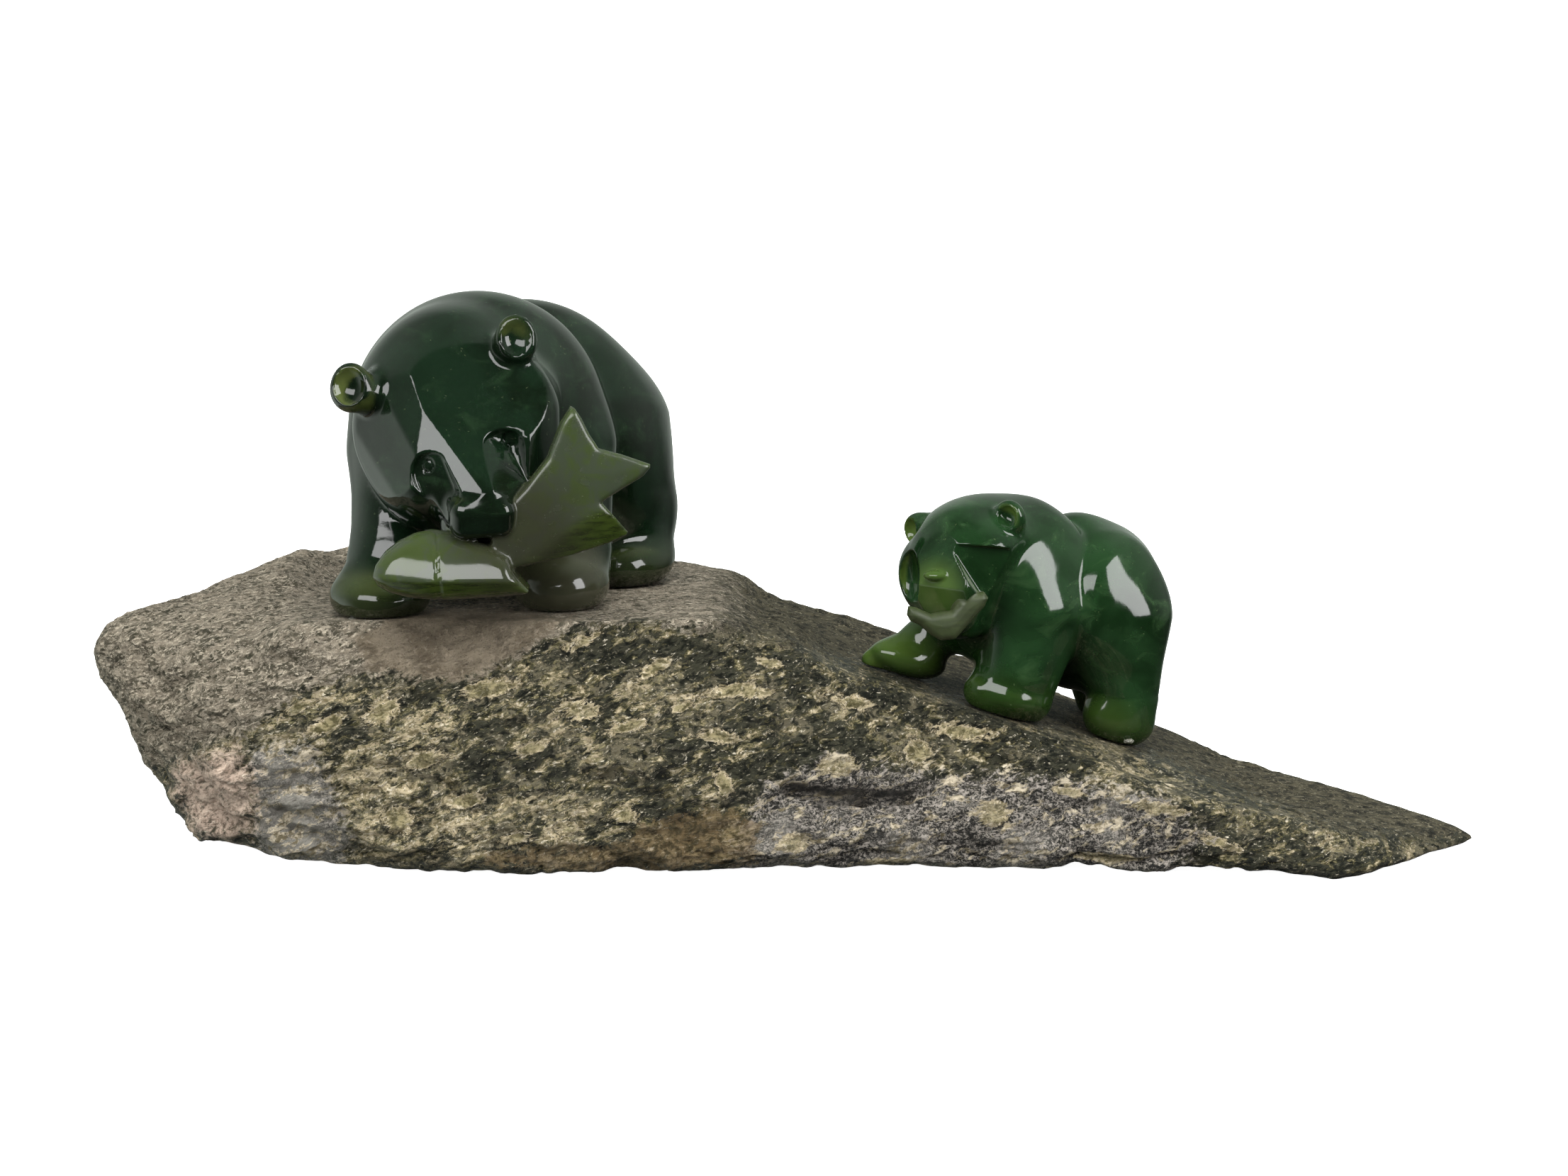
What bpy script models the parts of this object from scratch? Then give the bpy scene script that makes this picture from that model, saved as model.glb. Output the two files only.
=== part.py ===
"""Carved nephrite bears on a natural stone slab.

A mother bear with a salmon across her mouth stands on the high part of the slab. Her cub walks up the slope
towards her with a small fish in its mouth. Three solids: the slab, the mother with her fish, the cub with its
fish.
+X is the slab's length, from the thick end to the thin tip, -Y is the side that the mother faces, +Z is up.
Sizes below are in millimetres and are turned into metres when the objects are made.
"""

import math

import bmesh
import bpy
import numpy as np
from mathutils import Matrix, Vector

MM = 0.001

# ------------------------------------------------------------------ driving dimensions
REST_GAP = 0.3            # between a sole and the stone below it

# The slab, as cross sections. Each row is the place along the length, then the outline there as
# (depth, height) points: front foot, front low, front high, brow, crown, rear edge, rear face, rear foot, rear
# sole, front sole.
SLAB_SECTIONS = [
    (-145.9, (0, 30.5), (-1.5, 31.5), (-2.0, 33), (-1, 34.4), (0.5, 35.0), (2, 34.5),
     (2, 32.5), (1, 31), (0.7, 30.6), (0.3, 30.4)),
    (-144, (-2, 27), (-5, 29), (-6.5, 32), (-4, 35.5), (1, 37), (6, 36),
     (7, 33), (4, 28), (2, 27), (0, 26.6)),
    (-140, (-8, 23), (-12, 26), (-14, 32), (-9, 37.2), (0, 39.2), (10, 38.6),
     (14, 32), (8, 24), (4, 22), (-3, 22)),
    (-134, (-14, 13), (-20, 18), (-22, 30), (-15, 38.5), (2, 40.6), (17, 40.2),
     (24, 32), (14, 12), (8, 11), (-6, 11)),
    (-126, (-21, 3), (-29, 10.5), (-31, 24), (-22, 38), (2, 41.8), (28, 40.6),
     (36, 31), (25, 2.5), (15, 1.5), (-10, 1.5)),
    (-114, (-37, 1.2), (-41, 9), (-42, 22), (-30, 38.5), (2, 44.3), (43, 44.2),
     (50, 30), (43, 1.2), (34, 0), (-26, 0)),
    (-97, (-47, 1), (-50, 9), (-49, 22), (-36, 39.5), (4, 45.4), (55, 46),
     (60, 30), (54, 1.2), (46, 0), (-38, 0)),
    (-65, (-56, 0.6), (-57.5, 9), (-52, 24), (-39, 38.5), (6, 43.6), (58, 44.6),
     (62, 27), (58, 1.2), (49, 0), (-44, 0)),
    (-32, (-54, 1.4), (-56, 9), (-49, 24), (-28, 44), (14, 42), (57, 42.2),
     (61, 24), (56, 1.2), (47, 0), (-43, 0)),
    (-12, (-56, 0.6), (-57, 8.5), (-49, 23), (-28, 42.2), (14, 39.5), (56, 38),
     (61, 20), (55, 1.2), (46, 0), (-44, 0)),
    (0, (-55.5, 0.8), (-57, 8.5), (-48, 22), (-27.5, 40.2), (14, 37), (55, 32.4),
     (60, 18), (54, 1.2), (45, 0), (-44, 0)),
    (25, (-52, 1.4), (-54, 7.5), (-44, 19), (-19, 31), (16, 28.8), (54, 24.6),
     (58, 13), (52, 1.2), (44, 0), (-41, 0)),
    (50, (-55, 0.8), (-56, 6.5), (-48, 14), (-35, 23), (6, 21.5), (44, 17.6),
     (49, 9), (43, 1), (36, 0), (-44, 0)),
    (75, (-54, 1), (-56, 5), (-53, 10), (-46, 15.2), (-8, 13.6), (31, 11.6),
     (36, 6), (30, 1), (22, 0), (-43, 0)),
    (95, (-59, 0.4), (-61, 3.5), (-57, 7), (-48, 10.6), (-18, 8.4), (13, 6.6),
     (17, 3), (12, 0.6), (6, 0), (-50, 0)),
    (115, (-56.5, 0.4), (-58, 2), (-54, 3.8), (-48, 6), (-26, 5.6), (-4, 4.4),
     (-1, 2.4), (-5, 0.6), (-10, 0), (-48, 0)),
    (130, (-42, 0.6), (-43, 1.2), (-41.5, 2.2), (-37, 3.4), (-28, 3.8), (-20, 3.4),
     (-18, 2.1), (-21, 0.7), (-24, 0.4), (-38, 0.4)),
    (138, (-36, 0.9), (-36.5, 1.3), (-36, 1.8), (-34.5, 2.3), (-31, 2.7), (-28.8, 2.5),
     (-28.4, 1.7), (-29.2, 1.1), (-30, 0.9), (-34, 0.9)),
    (140.4, (-34.2, 1.5), (-34.4, 1.6), (-34.3, 1.7), (-34, 1.8), (-33.4, 1.9), (-33, 1.8),
     (-33, 1.7), (-33.2, 1.55), (-33.4, 1.5), (-33.8, 1.45)),
]
SLAB_STATIONS = 40        # cross sections in the loft
SIDE_POINTS = (2, 3, 3, 5, 6, 3, 4, 2, 4, 2)   # points on each side of a section, in the order of its corners
CORNER_PULL = 0.35        # how far a section rounds its corners
END_CROWDING = 0.035      # draws the stations towards both ends

# Where each bear stands: a plane through a point, with its rise along X and along Y, and the stone made level
# under it.
MOTHER_SEAT = dict(at=(-65, -26, 46.2), along=0.010, across=-0.078, x=(-98, -16), y=(-33, 48))
CUB_SEAT = dict(at=(49.2, -22, 23.1), along=-0.310, across=-0.050, x=(12, 84), y=(-22, 20))
SEAT_FADE = 12
SEAT_REACH = (5, 9)       # stone further than this from the plane keeps its own shape

# Mother: heading is measured from +X, turning left; pitch lifts the nose; roll lifts the left ear.
MOTHER_HEADING = -107
MOTHER_HEAD = dict(at=(-68.4, -14, 83.4), heading=-70, pitch=-30, roll=16)
CUB_HEADING = 204
CUB_PITCH = 17
CUB_HEAD = dict(at=(38.6, -17.5, 54.4), heading=229, pitch=-8, roll=15)

MOTHER_VOXEL = 1.0
CUB_VOXEL = 0.75
MOTHER_KEEP = 0.050       # share of the voxel faces that the finished solid keeps
CUB_KEEP = 0.045
SOFTENING = 5             # passes that melt the joins between masses

SALMON_FRONT = [(-16.3, -2.4), (-15.7, 0.1), (-13.8, 2.6), (-11, 4.8), (-7.7, 6.4), (-4.4, 7.1), (0, 6.6),
                (7.4, 4.2), (11.2, 1.8), (12.4, -1.0), (16, -5.4), (13.8, -5.9), (7.2, -6.5), (-0.4, -6.9),
                (-4.8, -6.8), (-9.1, -6.5), (-12.9, -5.6), (-15.3, -4.2)]
SALMON_TAIL = [(6.7, 25.2), (8.3, 22.7), (9.9, 19.3), (11.7, 16.4), (16.4, 15), (22.5, 12.7), (20.4, 10.4),
               (16.2, 8.1), (12, 5.6), (14.2, 3.0), (17.8, -1.1), (13.2, -2.9), (5.9, -4.8), (-1.4, -6.1),
               (-5.8, -7.0), (-10, -6.5), (-10.5, 2), (-3.1, 9.3), (-0.6, 12.4), (1.5, 14.9), (4.4, 21.7)]
SALMON_FRONT_THICK = 9.5
SALMON_FRONT_EDGE = 2.4
SALMON_TAIL_THICK = 5.4
SALMON_TAIL_EDGE = 1.4
CUB_FISH = [(-8.2, 0.5), (-7.9, 2.3), (-6.3, 1.9), (-3.4, 0.5), (-1.4, 0.8), (0.8, 1.0), (2.3, 3.0),
            (4.7, 4.2), (7.6, 4.6), (8.4, 3.4), (7.6, 1.7), (5.4, -0.7), (3.2, -3.0), (1.5, -4.8),
            (-1.4, -5.0), (-3.7, -3.6), (-5.6, -1.7), (-7.6, -0.7)]
CUB_FISH_THICK = 5.0
CUB_FISH_EDGE = 1.2

# Flats ground on the faces: a place that the flat passes through, its heading (0 faces the front, 90 the
# right), its rise.
KITE_TOP = (-72.1, -30.3, 89.4)        # where the bridge of the mother's nose, its bevel and the brow meet
FACE_FLATS = [(KITE_TOP, 10, 39), (KITE_TOP, -12.7, 25.2), (KITE_TOP, -27, 25),
              ((-76.6, -30.4, 83.7), -43, 10), ((-80.0, -29.9, 78.6), -54, -4)]
CUB_BROW = (33.7, -27.9, 61.3)              # where the cub's brow, muzzle and left eye hollow meet
CUB_FLATS = [(CUB_BROW, -34, 20), ((31.0, -29.7, 53.0), -34, -16), ((46.6, -25.9, 60.3), 62, -19)]


# ------------------------------------------------------------------ clean start and collections
for old in list(bpy.data.objects):
    bpy.data.objects.remove(old, do_unlink=True)

solids = bpy.data.collections.new("jade_bear_group")
cutters = bpy.data.collections.new("jade_bear_group_cutters")
for made in (solids, cutters):
    bpy.context.scene.collection.children.link(made)

carving = bpy.data.objects.new("carving", None)
solids.objects.link(carving)


def stone_material(name, colour, roughness):
    mat = bpy.data.materials.new(name)
    mat.use_nodes = True
    shader = mat.node_tree.nodes["Principled BSDF"]
    shader.inputs["Base Color"].default_value = (*colour, 1)
    shader.inputs["Roughness"].default_value = roughness
    shader.inputs["Metallic"].default_value = 0.0
    mat.diffuse_color = (*colour, 1)
    return mat


# ------------------------------------------------------------------ turning and placing
def turned(heading=0.0, pitch=0.0, roll=0.0):
    """Axes as columns: forward, left, up."""
    y, p, r = math.radians(heading), math.radians(pitch), math.radians(roll)
    return Matrix.Rotation(y, 4, "Z") @ Matrix.Rotation(-p, 4, "Y") @ Matrix.Rotation(r, 4, "X")


def head_place(head):
    return Matrix.Translation(Vector(head["at"]) * MM) @ turned(head["heading"], head["pitch"], head["roll"])


def looking(heading, rise):
    """A direction: heading 0 is to the front and 90 to the right."""
    a, e = math.radians(heading), math.radians(rise)
    return Vector((math.sin(a) * math.cos(e), -math.cos(a) * math.cos(e), math.sin(e)))


def sole_height(seat, x, y):
    ax, ay, az = seat["at"]
    return az + seat["along"] * (x - ax) + seat["across"] * (y - ay)


# ------------------------------------------------------------------ forms
def egg(at, radii, place=None, turn=None, rounds=32):
    """An ellipsoid mass. Place is the frame that the centre is given in."""
    bpy.ops.mesh.primitive_uv_sphere_add(segments=rounds, ring_count=rounds * 5 // 8, radius=1)
    form = bpy.context.object
    place = place or Matrix.Identity(4)
    turn = turn or Matrix.Identity(4)
    size = Matrix.Diagonal((radii[0] * MM, radii[1] * MM, radii[2] * MM, 1))
    form.data.transform(place @ Matrix.Translation(Vector(at) * MM) @ turn @ size)
    return form


def limb(a, b, ra, rb, place=None, rounds=24):
    """A tapering limb with round ends: the hull of two spheres."""
    place = place or Matrix.Identity(4)
    cage = bmesh.new()
    for at, radius in ((a, ra), (b, rb)):
        bmesh.ops.create_uvsphere(cage, u_segments=rounds, v_segments=rounds * 5 // 8, radius=radius * MM,
                                  matrix=Matrix.Translation(Vector(at) * MM))
    bmesh.ops.delete(cage, geom=cage.edges[:] + cage.faces[:], context="EDGES_FACES")
    hull = bmesh.ops.convex_hull(cage, input=cage.verts)
    inside = {e for e in hull["geom_interior"] + hull["geom_unused"] if isinstance(e, bmesh.types.BMVert)}
    bmesh.ops.delete(cage, geom=list(inside), context="VERTS")
    bmesh.ops.transform(cage, matrix=place, verts=cage.verts)
    mesh = bpy.data.meshes.new("limb")
    cage.to_mesh(mesh)
    cage.free()
    form = bpy.data.objects.new("limb", mesh)
    bpy.context.scene.collection.objects.link(form)
    return form


def cut_off(form, at, outwards):
    """Cuts a round form off at a plane and closes it. What lies beyond the plane goes."""
    cage = bmesh.new()
    cage.from_mesh(form.data)
    cut = bmesh.ops.bisect_plane(cage, geom=cage.verts[:] + cage.edges[:] + cage.faces[:],
                                 plane_co=Vector(at) * MM, plane_no=outwards, clear_outer=True)
    rim = [e for e in cut["geom_cut"] if isinstance(e, bmesh.types.BMEdge)]
    if rim:
        bmesh.ops.holes_fill(cage, edges=rim)
    cage.to_mesh(form.data)
    cage.free()
    return form


def ground(forms, flats):
    for form in forms:
        for at, heading, rise in flats:
            cut_off(form, at, looking(heading, rise))
    return forms


def both_sides(maker, place, *points, **kw):
    """The same form on the left and on the right of a head."""
    flip = Matrix.Diagonal((1, -1, 1, 1))
    pair = []
    for side in (Matrix.Identity(4), flip):
        form = maker(*points, place=place @ side, **kw)
        if side is flip:
            form.data.flip_normals()
        pair.append(form)
    return pair


def board(outline, thick, edge, place):
    """A flat outline with thickness along its third axis and rounded edges, made a mesh."""
    curve = bpy.data.curves.new("board", "CURVE")
    curve.dimensions = "2D"
    curve.fill_mode = "BOTH"
    curve.bevel_depth = edge * MM
    curve.bevel_resolution = 3
    curve.offset = -edge * MM
    curve.extrude = (thick / 2 - edge) * MM
    spline = curve.splines.new("POLY")
    spline.points.add(len(outline) - 1)
    for point, (x, y) in zip(spline.points, outline):
        point.co = (x * MM, y * MM, 0, 1)
    spline.use_cyclic_u = True
    lay = bpy.data.objects.new("board", curve)
    bpy.context.scene.collection.objects.link(lay)
    mesh = bpy.data.meshes.new_from_object(lay.evaluated_get(bpy.context.evaluated_depsgraph_get()))
    cage = bmesh.new()
    cage.from_mesh(mesh)
    bmesh.ops.remove_doubles(cage, verts=cage.verts, dist=1e-6)
    cage.to_mesh(mesh)
    cage.free()
    bpy.data.objects.remove(lay, do_unlink=True)
    mesh.transform(place)
    form = bpy.data.objects.new("board", mesh)
    bpy.context.scene.collection.objects.link(form)
    return form


def facing(at, right, up):
    """A frame whose first two axes lie across a board and whose third points to the board's front."""
    x = Vector(right).normalized()
    z = x.cross(Vector(up)).normalized()
    y = z.cross(x)
    return Matrix.Translation(Vector(at) * MM) @ Matrix((x, y, z)).transposed().to_4x4()


def gather(name, forms, collection):
    """Joins loose forms into one named object."""
    bpy.ops.object.select_all(action="DESELECT")
    for form in forms:
        form.select_set(True)
    bpy.context.view_layer.objects.active = forms[0]
    if len(forms) > 1:
        bpy.ops.object.join()
    whole = forms[0]
    whole.name = name
    whole.data.name = name
    for held in list(whole.users_collection):
        held.objects.unlink(whole)
    collection.objects.link(whole)
    return whole


def as_cutter(form):
    form.hide_render = True
    form.display_type = "WIRE"
    return form


def below_sole(name, seat):
    """A block whose top is the plane that a bear's soles are ground to."""
    bpy.ops.mesh.primitive_cube_add(size=1)
    block = bpy.context.object
    run = Vector((1, 0, seat["along"])).normalized()
    normal = run.cross(Vector((0, 1, seat["across"]))).normalized()
    side = normal.cross(run)
    axes = Matrix((run, side, normal)).transposed().to_4x4()
    block.data.transform(Matrix.Translation(Vector(seat["at"]) * MM) @ axes
                         @ Matrix.Translation((0, 0, -0.02)) @ Matrix.Diagonal((0.24, 0.24, 0.04, 1)))
    return as_cutter(gather(name, [block], cutters))


def carve(body, voxel, keep, hollows, sole):
    """Melts the masses into one stone, then cuts the hollows and grinds the soles flat."""
    melt = body.modifiers.new("one_stone", "REMESH")
    melt.mode = "VOXEL"
    melt.voxel_size = voxel * MM
    soften = body.modifiers.new("soften", "SMOOTH")
    soften.factor = 0.5
    soften.iterations = SOFTENING
    thin = body.modifiers.new("fewer_faces", "DECIMATE")
    thin.ratio = keep
    for name, cutter in (("hollows", hollows), ("soles", sole)):
        cut = body.modifiers.new(name, "BOOLEAN")
        cut.operation = "DIFFERENCE"
        cut.solver = "EXACT"
        cut.object = cutter


# ------------------------------------------------------------------ slab
def between_sections(places, table, x):
    """The section at any place along the slab, by a smooth curve through the named ones."""
    i = np.clip(np.searchsorted(places, x, side="right") - 1, 0, len(places) - 2)
    before, after = np.maximum(i - 1, 0), np.minimum(i + 2, len(places) - 1)
    span = (places[i + 1] - places[i])[:, None, None]
    t = (x - places[i])[:, None, None] / span
    p0, p1, p2, p3 = table[before], table[i], table[i + 1], table[after]
    slope1 = (p2 - p0) / (places[i + 1] - places[before])[:, None, None] * span
    slope2 = (p3 - p1) / (places[after] - places[i])[:, None, None] * span
    return ((2 * t**3 - 3 * t**2 + 1) * p1 + (t**3 - 2 * t**2 + t) * slope1
            + (3 * t**2 - 2 * t**3) * p2 + (t**3 - t**2) * slope2)


def round_section(corners):
    """Points round a closed section, with its corners rounded."""
    points = []
    for i, count in enumerate(SIDE_POINTS):
        p0, p1, p2, p3 = (corners[(i + k) % len(corners)] for k in (-1, 0, 1, 2))
        m1, m2 = CORNER_PULL * (p2 - p0), CORNER_PULL * (p3 - p1)
        for t in (np.arange(count) + 0.5) / count:
            points.append((2 * t**3 - 3 * t**2 + 1) * p1 + (t**3 - 2 * t**2 + t) * m1
                          + (3 * t**2 - 2 * t**3) * p2 + (t**3 - t**2) * m2)
    return np.array(points)


def ease(value, low, high):
    t = min(max((value - low) / (high - low), 0), 1)
    return t * t * (3 - 2 * t)


def settle_seat(x, y, z, seat):
    """Brings stone that lies near a bear's standing plane just under it."""
    off_x = max(seat["x"][0] - x, 0, x - seat["x"][1])
    off_y = max(seat["y"][0] - y, 0, y - seat["y"][1])
    level = sole_height(seat, x, y) - REST_GAP
    share = (1 - ease(math.hypot(off_x, off_y), 0, SEAT_FADE)) * (1 - ease(abs(z - level), *SEAT_REACH))
    return z + (level - z) * share


def make_slab():
    places = np.array([row[0] for row in SLAB_SECTIONS], float)
    table = np.array([row[1:] for row in SLAB_SECTIONS], float)
    share = np.linspace(0, 1, SLAB_STATIONS)
    xs = places[0] + (places[-1] - places[0]) * (share - END_CROWDING * np.sin(2 * np.pi * share))
    cage = bmesh.new()
    loops = []
    for x, corners in zip(xs, between_sections(places, table, xs)):
        section = round_section(corners)
        middle = (section[:, 1].min() + section[:, 1].max()) / 2
        loop = []
        for y, z in section:
            if z > middle:
                for seat in (MOTHER_SEAT, CUB_SEAT):
                    z = settle_seat(x, y, z, seat)
            loop.append(cage.verts.new((x * MM, y * MM, max(z, 0) * MM)))
        loops.append(loop)
    for one, two in zip(loops, loops[1:]):
        for k in range(len(one)):
            n = (k + 1) % len(one)
            cage.faces.new((one[k], two[k], two[n], one[n]))
    cage.faces.new(loops[0])
    cage.faces.new(loops[-1])
    bmesh.ops.recalc_face_normals(cage, faces=cage.faces)
    bmesh.ops.triangulate(cage, faces=cage.faces)
    mesh = bpy.data.meshes.new("rock_base")
    cage.to_mesh(mesh)
    cage.free()
    slab = bpy.data.objects.new("rock_base", mesh)
    solids.objects.link(slab)
    return slab


# ------------------------------------------------------------------ mother and her salmon
def mother_ear(at, root, heading):
    """An ear as an upright tab, and the round form that cups its front."""
    axes = turned(heading, 6)
    forward, up = axes.col[0].to_3d(), axes.col[2].to_3d()
    foot = Vector(at) - 1.2 * up - 0.4 * forward
    return [egg(at, (2.6, 4.3, 5.0), turn=axes), limb(foot, root, 3.9, 5.1)], \
        egg(Vector(at) + 5.2 * forward + 0.5 * up, (5.0, 4.2, 4.8), turn=axes, rounds=16)


def right_eye_hollow():
    groove = limb((-70.9, -37.4, 77.5), (-66.8, -40, 68.9), 5.0, 5.4, rounds=16)
    cut_off(groove, (-71.2, -33.9, 78.7), -looking(-24, 6))
    return cut_off(groove, (-67.4, -35.9, 80.0), -looking(-60, -12))


def left_eye_hollow():
    groove = limb((-55.6, -33.4, 82.4), (-53.2, -37.5, 71), 4.4, 5.0, rounds=16)
    cut_off(groove, (-60.6, -32.7, 84.0), -looking(50, 36.4))
    return cut_off(groove, (-55.6, -29.3, 82.6), -looking(18, 6))


def make_mother():
    body = turned(MOTHER_HEADING)
    head = head_place(MOTHER_HEAD)
    masses = [
        egg((-64.6, 8, 79.5), (26.4, 28.2, 29.4), turn=body),                  # shoulders
        egg((-56.6, 31, 71.6), (22.8, 29.4, 32.4), turn=body),                 # haunches
        egg((-70, -4, 86), (16.5, 16.5, 20.5), turn=body),                     # neck
        egg((-58, 20, 71), (20, 22, 19), turn=body),                           # belly
        limb((-79.4, 0, 74), (-80.8, -11, 56), 11.5, 9.4),                     # right foreleg
        limb((-80.8, -11, 56), (-82.8, -15, 51.5), 9.4, 8.6),
        egg((-83.2, -17.5, 49), (12.7, 10.6, 6.7), turn=turned(-95)),
        limb((-49.5, 3, 75), (-46.8, -5, 56), 14.2, 11),                       # left foreleg
        egg((-46.4, -11, 50.2), (12.7, 10.4, 7.7), turn=turned(-90)),
    ]
    for hip, knee, ankle, paw in (((-41.4, 40, 72.5), (-36.4, 35, 57), (-34.8, 30, 50), (-34.6, 26, 47.2)),
                                  ((-68, 41, 70), (-72, 38, 57), (-72.5, 37, 50), (-72.5, 34, 47.2))):
        masses += [limb(hip, knee, 16.3, 12.3), limb(knee, ankle, 12.3, 10)]
        masses.append(egg(paw, (13, 10.2, 6.5), turn=body))
    skull = [
        egg((0, 0, 0), (21.2, 20.2, 18.2), place=head),
        egg((5, 0, -7), (15.2, 16.2, 12.2), place=head),                       # jaw
        egg((9, -8.5, 0.5), (12.2, 9.7, 11.7), place=head),                    # right cheek
        egg((-59.3, -17.5, 84.5), (12.8, 16.7, 15.7)),                         # left temple
        limb((-57, -20, 87), (-55.4, -23, 75), 11.5, 10),                      # left brow and cheek
        limb((-64.5, -20, 86), (-61.4, -31.8, 73.6), 11.2, 9.2),               # muzzle
    ]
    masses += ground(skull, FACE_FLATS)
    masses += [
        egg((23.8, -0.2, -5), (5.8, 8.2, 5), place=head),                      # lips on the salmon
        egg((-60, -37.8, 69.8), (4.6, 6.9, 3.6), turn=turned(-80, -14)),       # nose
        board(SALMON_FRONT, SALMON_FRONT_THICK, SALMON_FRONT_EDGE,
              facing((-66, -39.5, 59.3), (1, 0.05, 0), (0, 0, 1))),
        board(SALMON_TAIL, SALMON_TAIL_THICK, SALMON_TAIL_EDGE,
              facing((-48.4, -35, 65.4), (1, 0.22, 0), (0, 0.1, 1))),
    ]
    hollows = [right_eye_hollow(), left_eye_hollow()]
    for at, root, heading in (((-87.2, -24.5, 93.2), (-82.5, -20, 91), -96),
                              ((-54.2, -20, 102.4), (-57.5, -14.5, 96), -84)):
        tab, cup = mother_ear(at, root, heading)
        masses += tab
        hollows.append(cup)
    bear = gather("mother_bear", masses, solids)
    carve(bear, MOTHER_VOXEL, MOTHER_KEEP, as_cutter(gather("mother_hollows", hollows, cutters)),
          below_sole("mother_sole", MOTHER_SEAT))
    return bear


# ------------------------------------------------------------------ cub and its fish
def cub_left_hollow():
    """A pocket under the brow and beside the muzzle."""
    pocket = egg((40, -33, 56), (9.6, 9.6, 9.6), rounds=20)
    cut_off(pocket, CUB_BROW, Vector((0.04, 0.35, 0.92)))
    cut_off(pocket, CUB_BROW, -looking(80, 32.4))
    return cut_off(pocket, (39.6, -28.4, 56.0), -looking(14, 10))


def make_cub():
    body = turned(CUB_HEADING, CUB_PITCH)
    foot = turned(200, CUB_PITCH)
    head = head_place(CUB_HEAD)
    masses = [
        egg((47.2, -7, 50.4), (16.2, 14.7, 17.6), turn=body),                  # shoulders
        egg((39.9, -11, 54), (12.8, 13, 13.8), turn=body),                     # neck
        egg((64.4, 3, 42.2), (16.3, 15.1, 18.5), turn=body),                   # haunches
        egg((60.6, 2.5, 50), (10.3, 11.1, 12.3), turn=body),                   # rump
        egg((65.3, -2.4, 45), (13.6, 15, 15.4), turn=body),                    # left flank
        egg((50.8, -6.9, 48.5), (15.2, 14.8, 15.8), turn=body),                # left shoulder
        egg((43, -8, 41.9), (10.2, 9.2, 9.2), turn=body),                      # chest
        egg((58, -2, 40), (14, 10, 9), turn=body),                             # belly
        limb((50.6, -14, 44), (47.6, -17, 32), 10, 8.4),                       # left foreleg
        limb((52.6, -11, 44), (49.5, -14.6, 27), 10.6, 6.7),
        egg((46, -18.5, 27.4), (9.7, 6.4, 5.7), turn=foot),
        egg((47.6, -21, 27.6), (6.9, 4.6, 3.8), turn=foot),                    # its toes
        limb((38, -4, 43), (30, -6, 36.5), 7.2, 5.2),                          # right foreleg, reaching out
        limb((30, -6, 36), (18.4, -9.5, 33), 5.2, 2.5),
        egg((26.2, -8.5, 33), (8.6, 5, 4.1), turn=foot),
        limb((71, -6, 41), (71.6, -8.5, 25), 10.2, 7.4),                       # left hind leg
        egg((70.4, -9.5, 20.5), (8.2, 6.6, 6.2), turn=foot),
        limb((66, 11, 38), (70, 13, 20), 9.2, 7.0),                            # right hind leg
    ]
    skull = [
        egg((0, -0.4, 0), (14.2, 14.1, 13), place=head),
        egg((5, 0, -7), (9.2, 8.7, 6.2), place=head),                          # jaw
        egg((4, -9, 0), (6.7, 5, 8.2), place=head),                            # right cheek
        limb((36, -19.5, 58.5), (33.6, -27.2, 52.6), 8.7, 6.9),                # muzzle
    ]
    masses += ground(skull, CUB_FLATS)
    masses += [
        egg((30.9, -28.7, 55.2), (2.9, 1.9, 1.4)),                             # nose
        *both_sides(egg, head, (-3, 12, 9), (2.8, 3.6, 3.8)),                  # ears
        *both_sides(limb, head, (-4, 8, 6), (-3, 11.2, 8), 3.4, 3),
        board(CUB_FISH, CUB_FISH_THICK, CUB_FISH_EDGE,
              facing((33, -31.6, 47.5), (1, 0.10, 0.02), (-0.03, 0.05, 1))),
    ]
    bear = gather("cub_bear", masses, solids)
    hollows = [
        *both_sides(egg, head, (-0.6, 12.7, 9.5), (2.2, 2.0, 2.3), rounds=12),   # ear cups
        cub_left_hollow(),
        egg((25.2, -23, 53.4), (2.9, 6, 6.2), rounds=16),                        # right eye hollow
    ]
    carve(bear, CUB_VOXEL, CUB_KEEP, as_cutter(gather("cub_hollows", hollows, cutters)),
          below_sole("cub_sole", CUB_SEAT))
    return bear


# ------------------------------------------------------------------ the group, centred over the origin
slab = make_slab()
mother = make_mother()
cub = make_cub()

slab.data.materials.append(stone_material("mottled_slab", (0.11, 0.10, 0.075), 0.75))
for bear, mat in ((mother, stone_material("dark_nephrite", (0.015, 0.055, 0.03), 0.12)),
                  (cub, stone_material("green_nephrite", (0.03, 0.11, 0.03), 0.12))):
    bear.data.materials.clear()
    bear.data.materials.append(mat)
for piece in (mother, cub):
    piece.data.shade_smooth()
    piece.data.set_sharp_from_angle(angle=math.radians(50))

reach = np.array([vert.co[:] for vert in slab.data.vertices])
middle = (reach.min(0) + reach.max(0)) / 2
carving.location = (-middle[0], -middle[1], 0)
for piece in (slab, mother, cub):
    piece.parent = carving
for piece in cutters.objects:
    piece.parent = carving
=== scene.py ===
"""Jade bears on a natural stone slab, dressed for show.

A mother bear stands on the high part of the slab with a salmon across her mouth, and her cub walks up
towards her with a small fish. Each bear is ground out of one piece of nephrite, so each is one skin round one
distance field: masses are joined, hollows are ground out, and the soles are cut flat on the stone.

Lengths are millimetres from the carver's own zero, which lies under the group. They become metres in the
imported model's frame when a mesh is made.
"""

import math

import bmesh
import bpy
import numpy as np
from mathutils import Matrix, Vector
from mathutils.bvhtree import BVHTree


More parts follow.
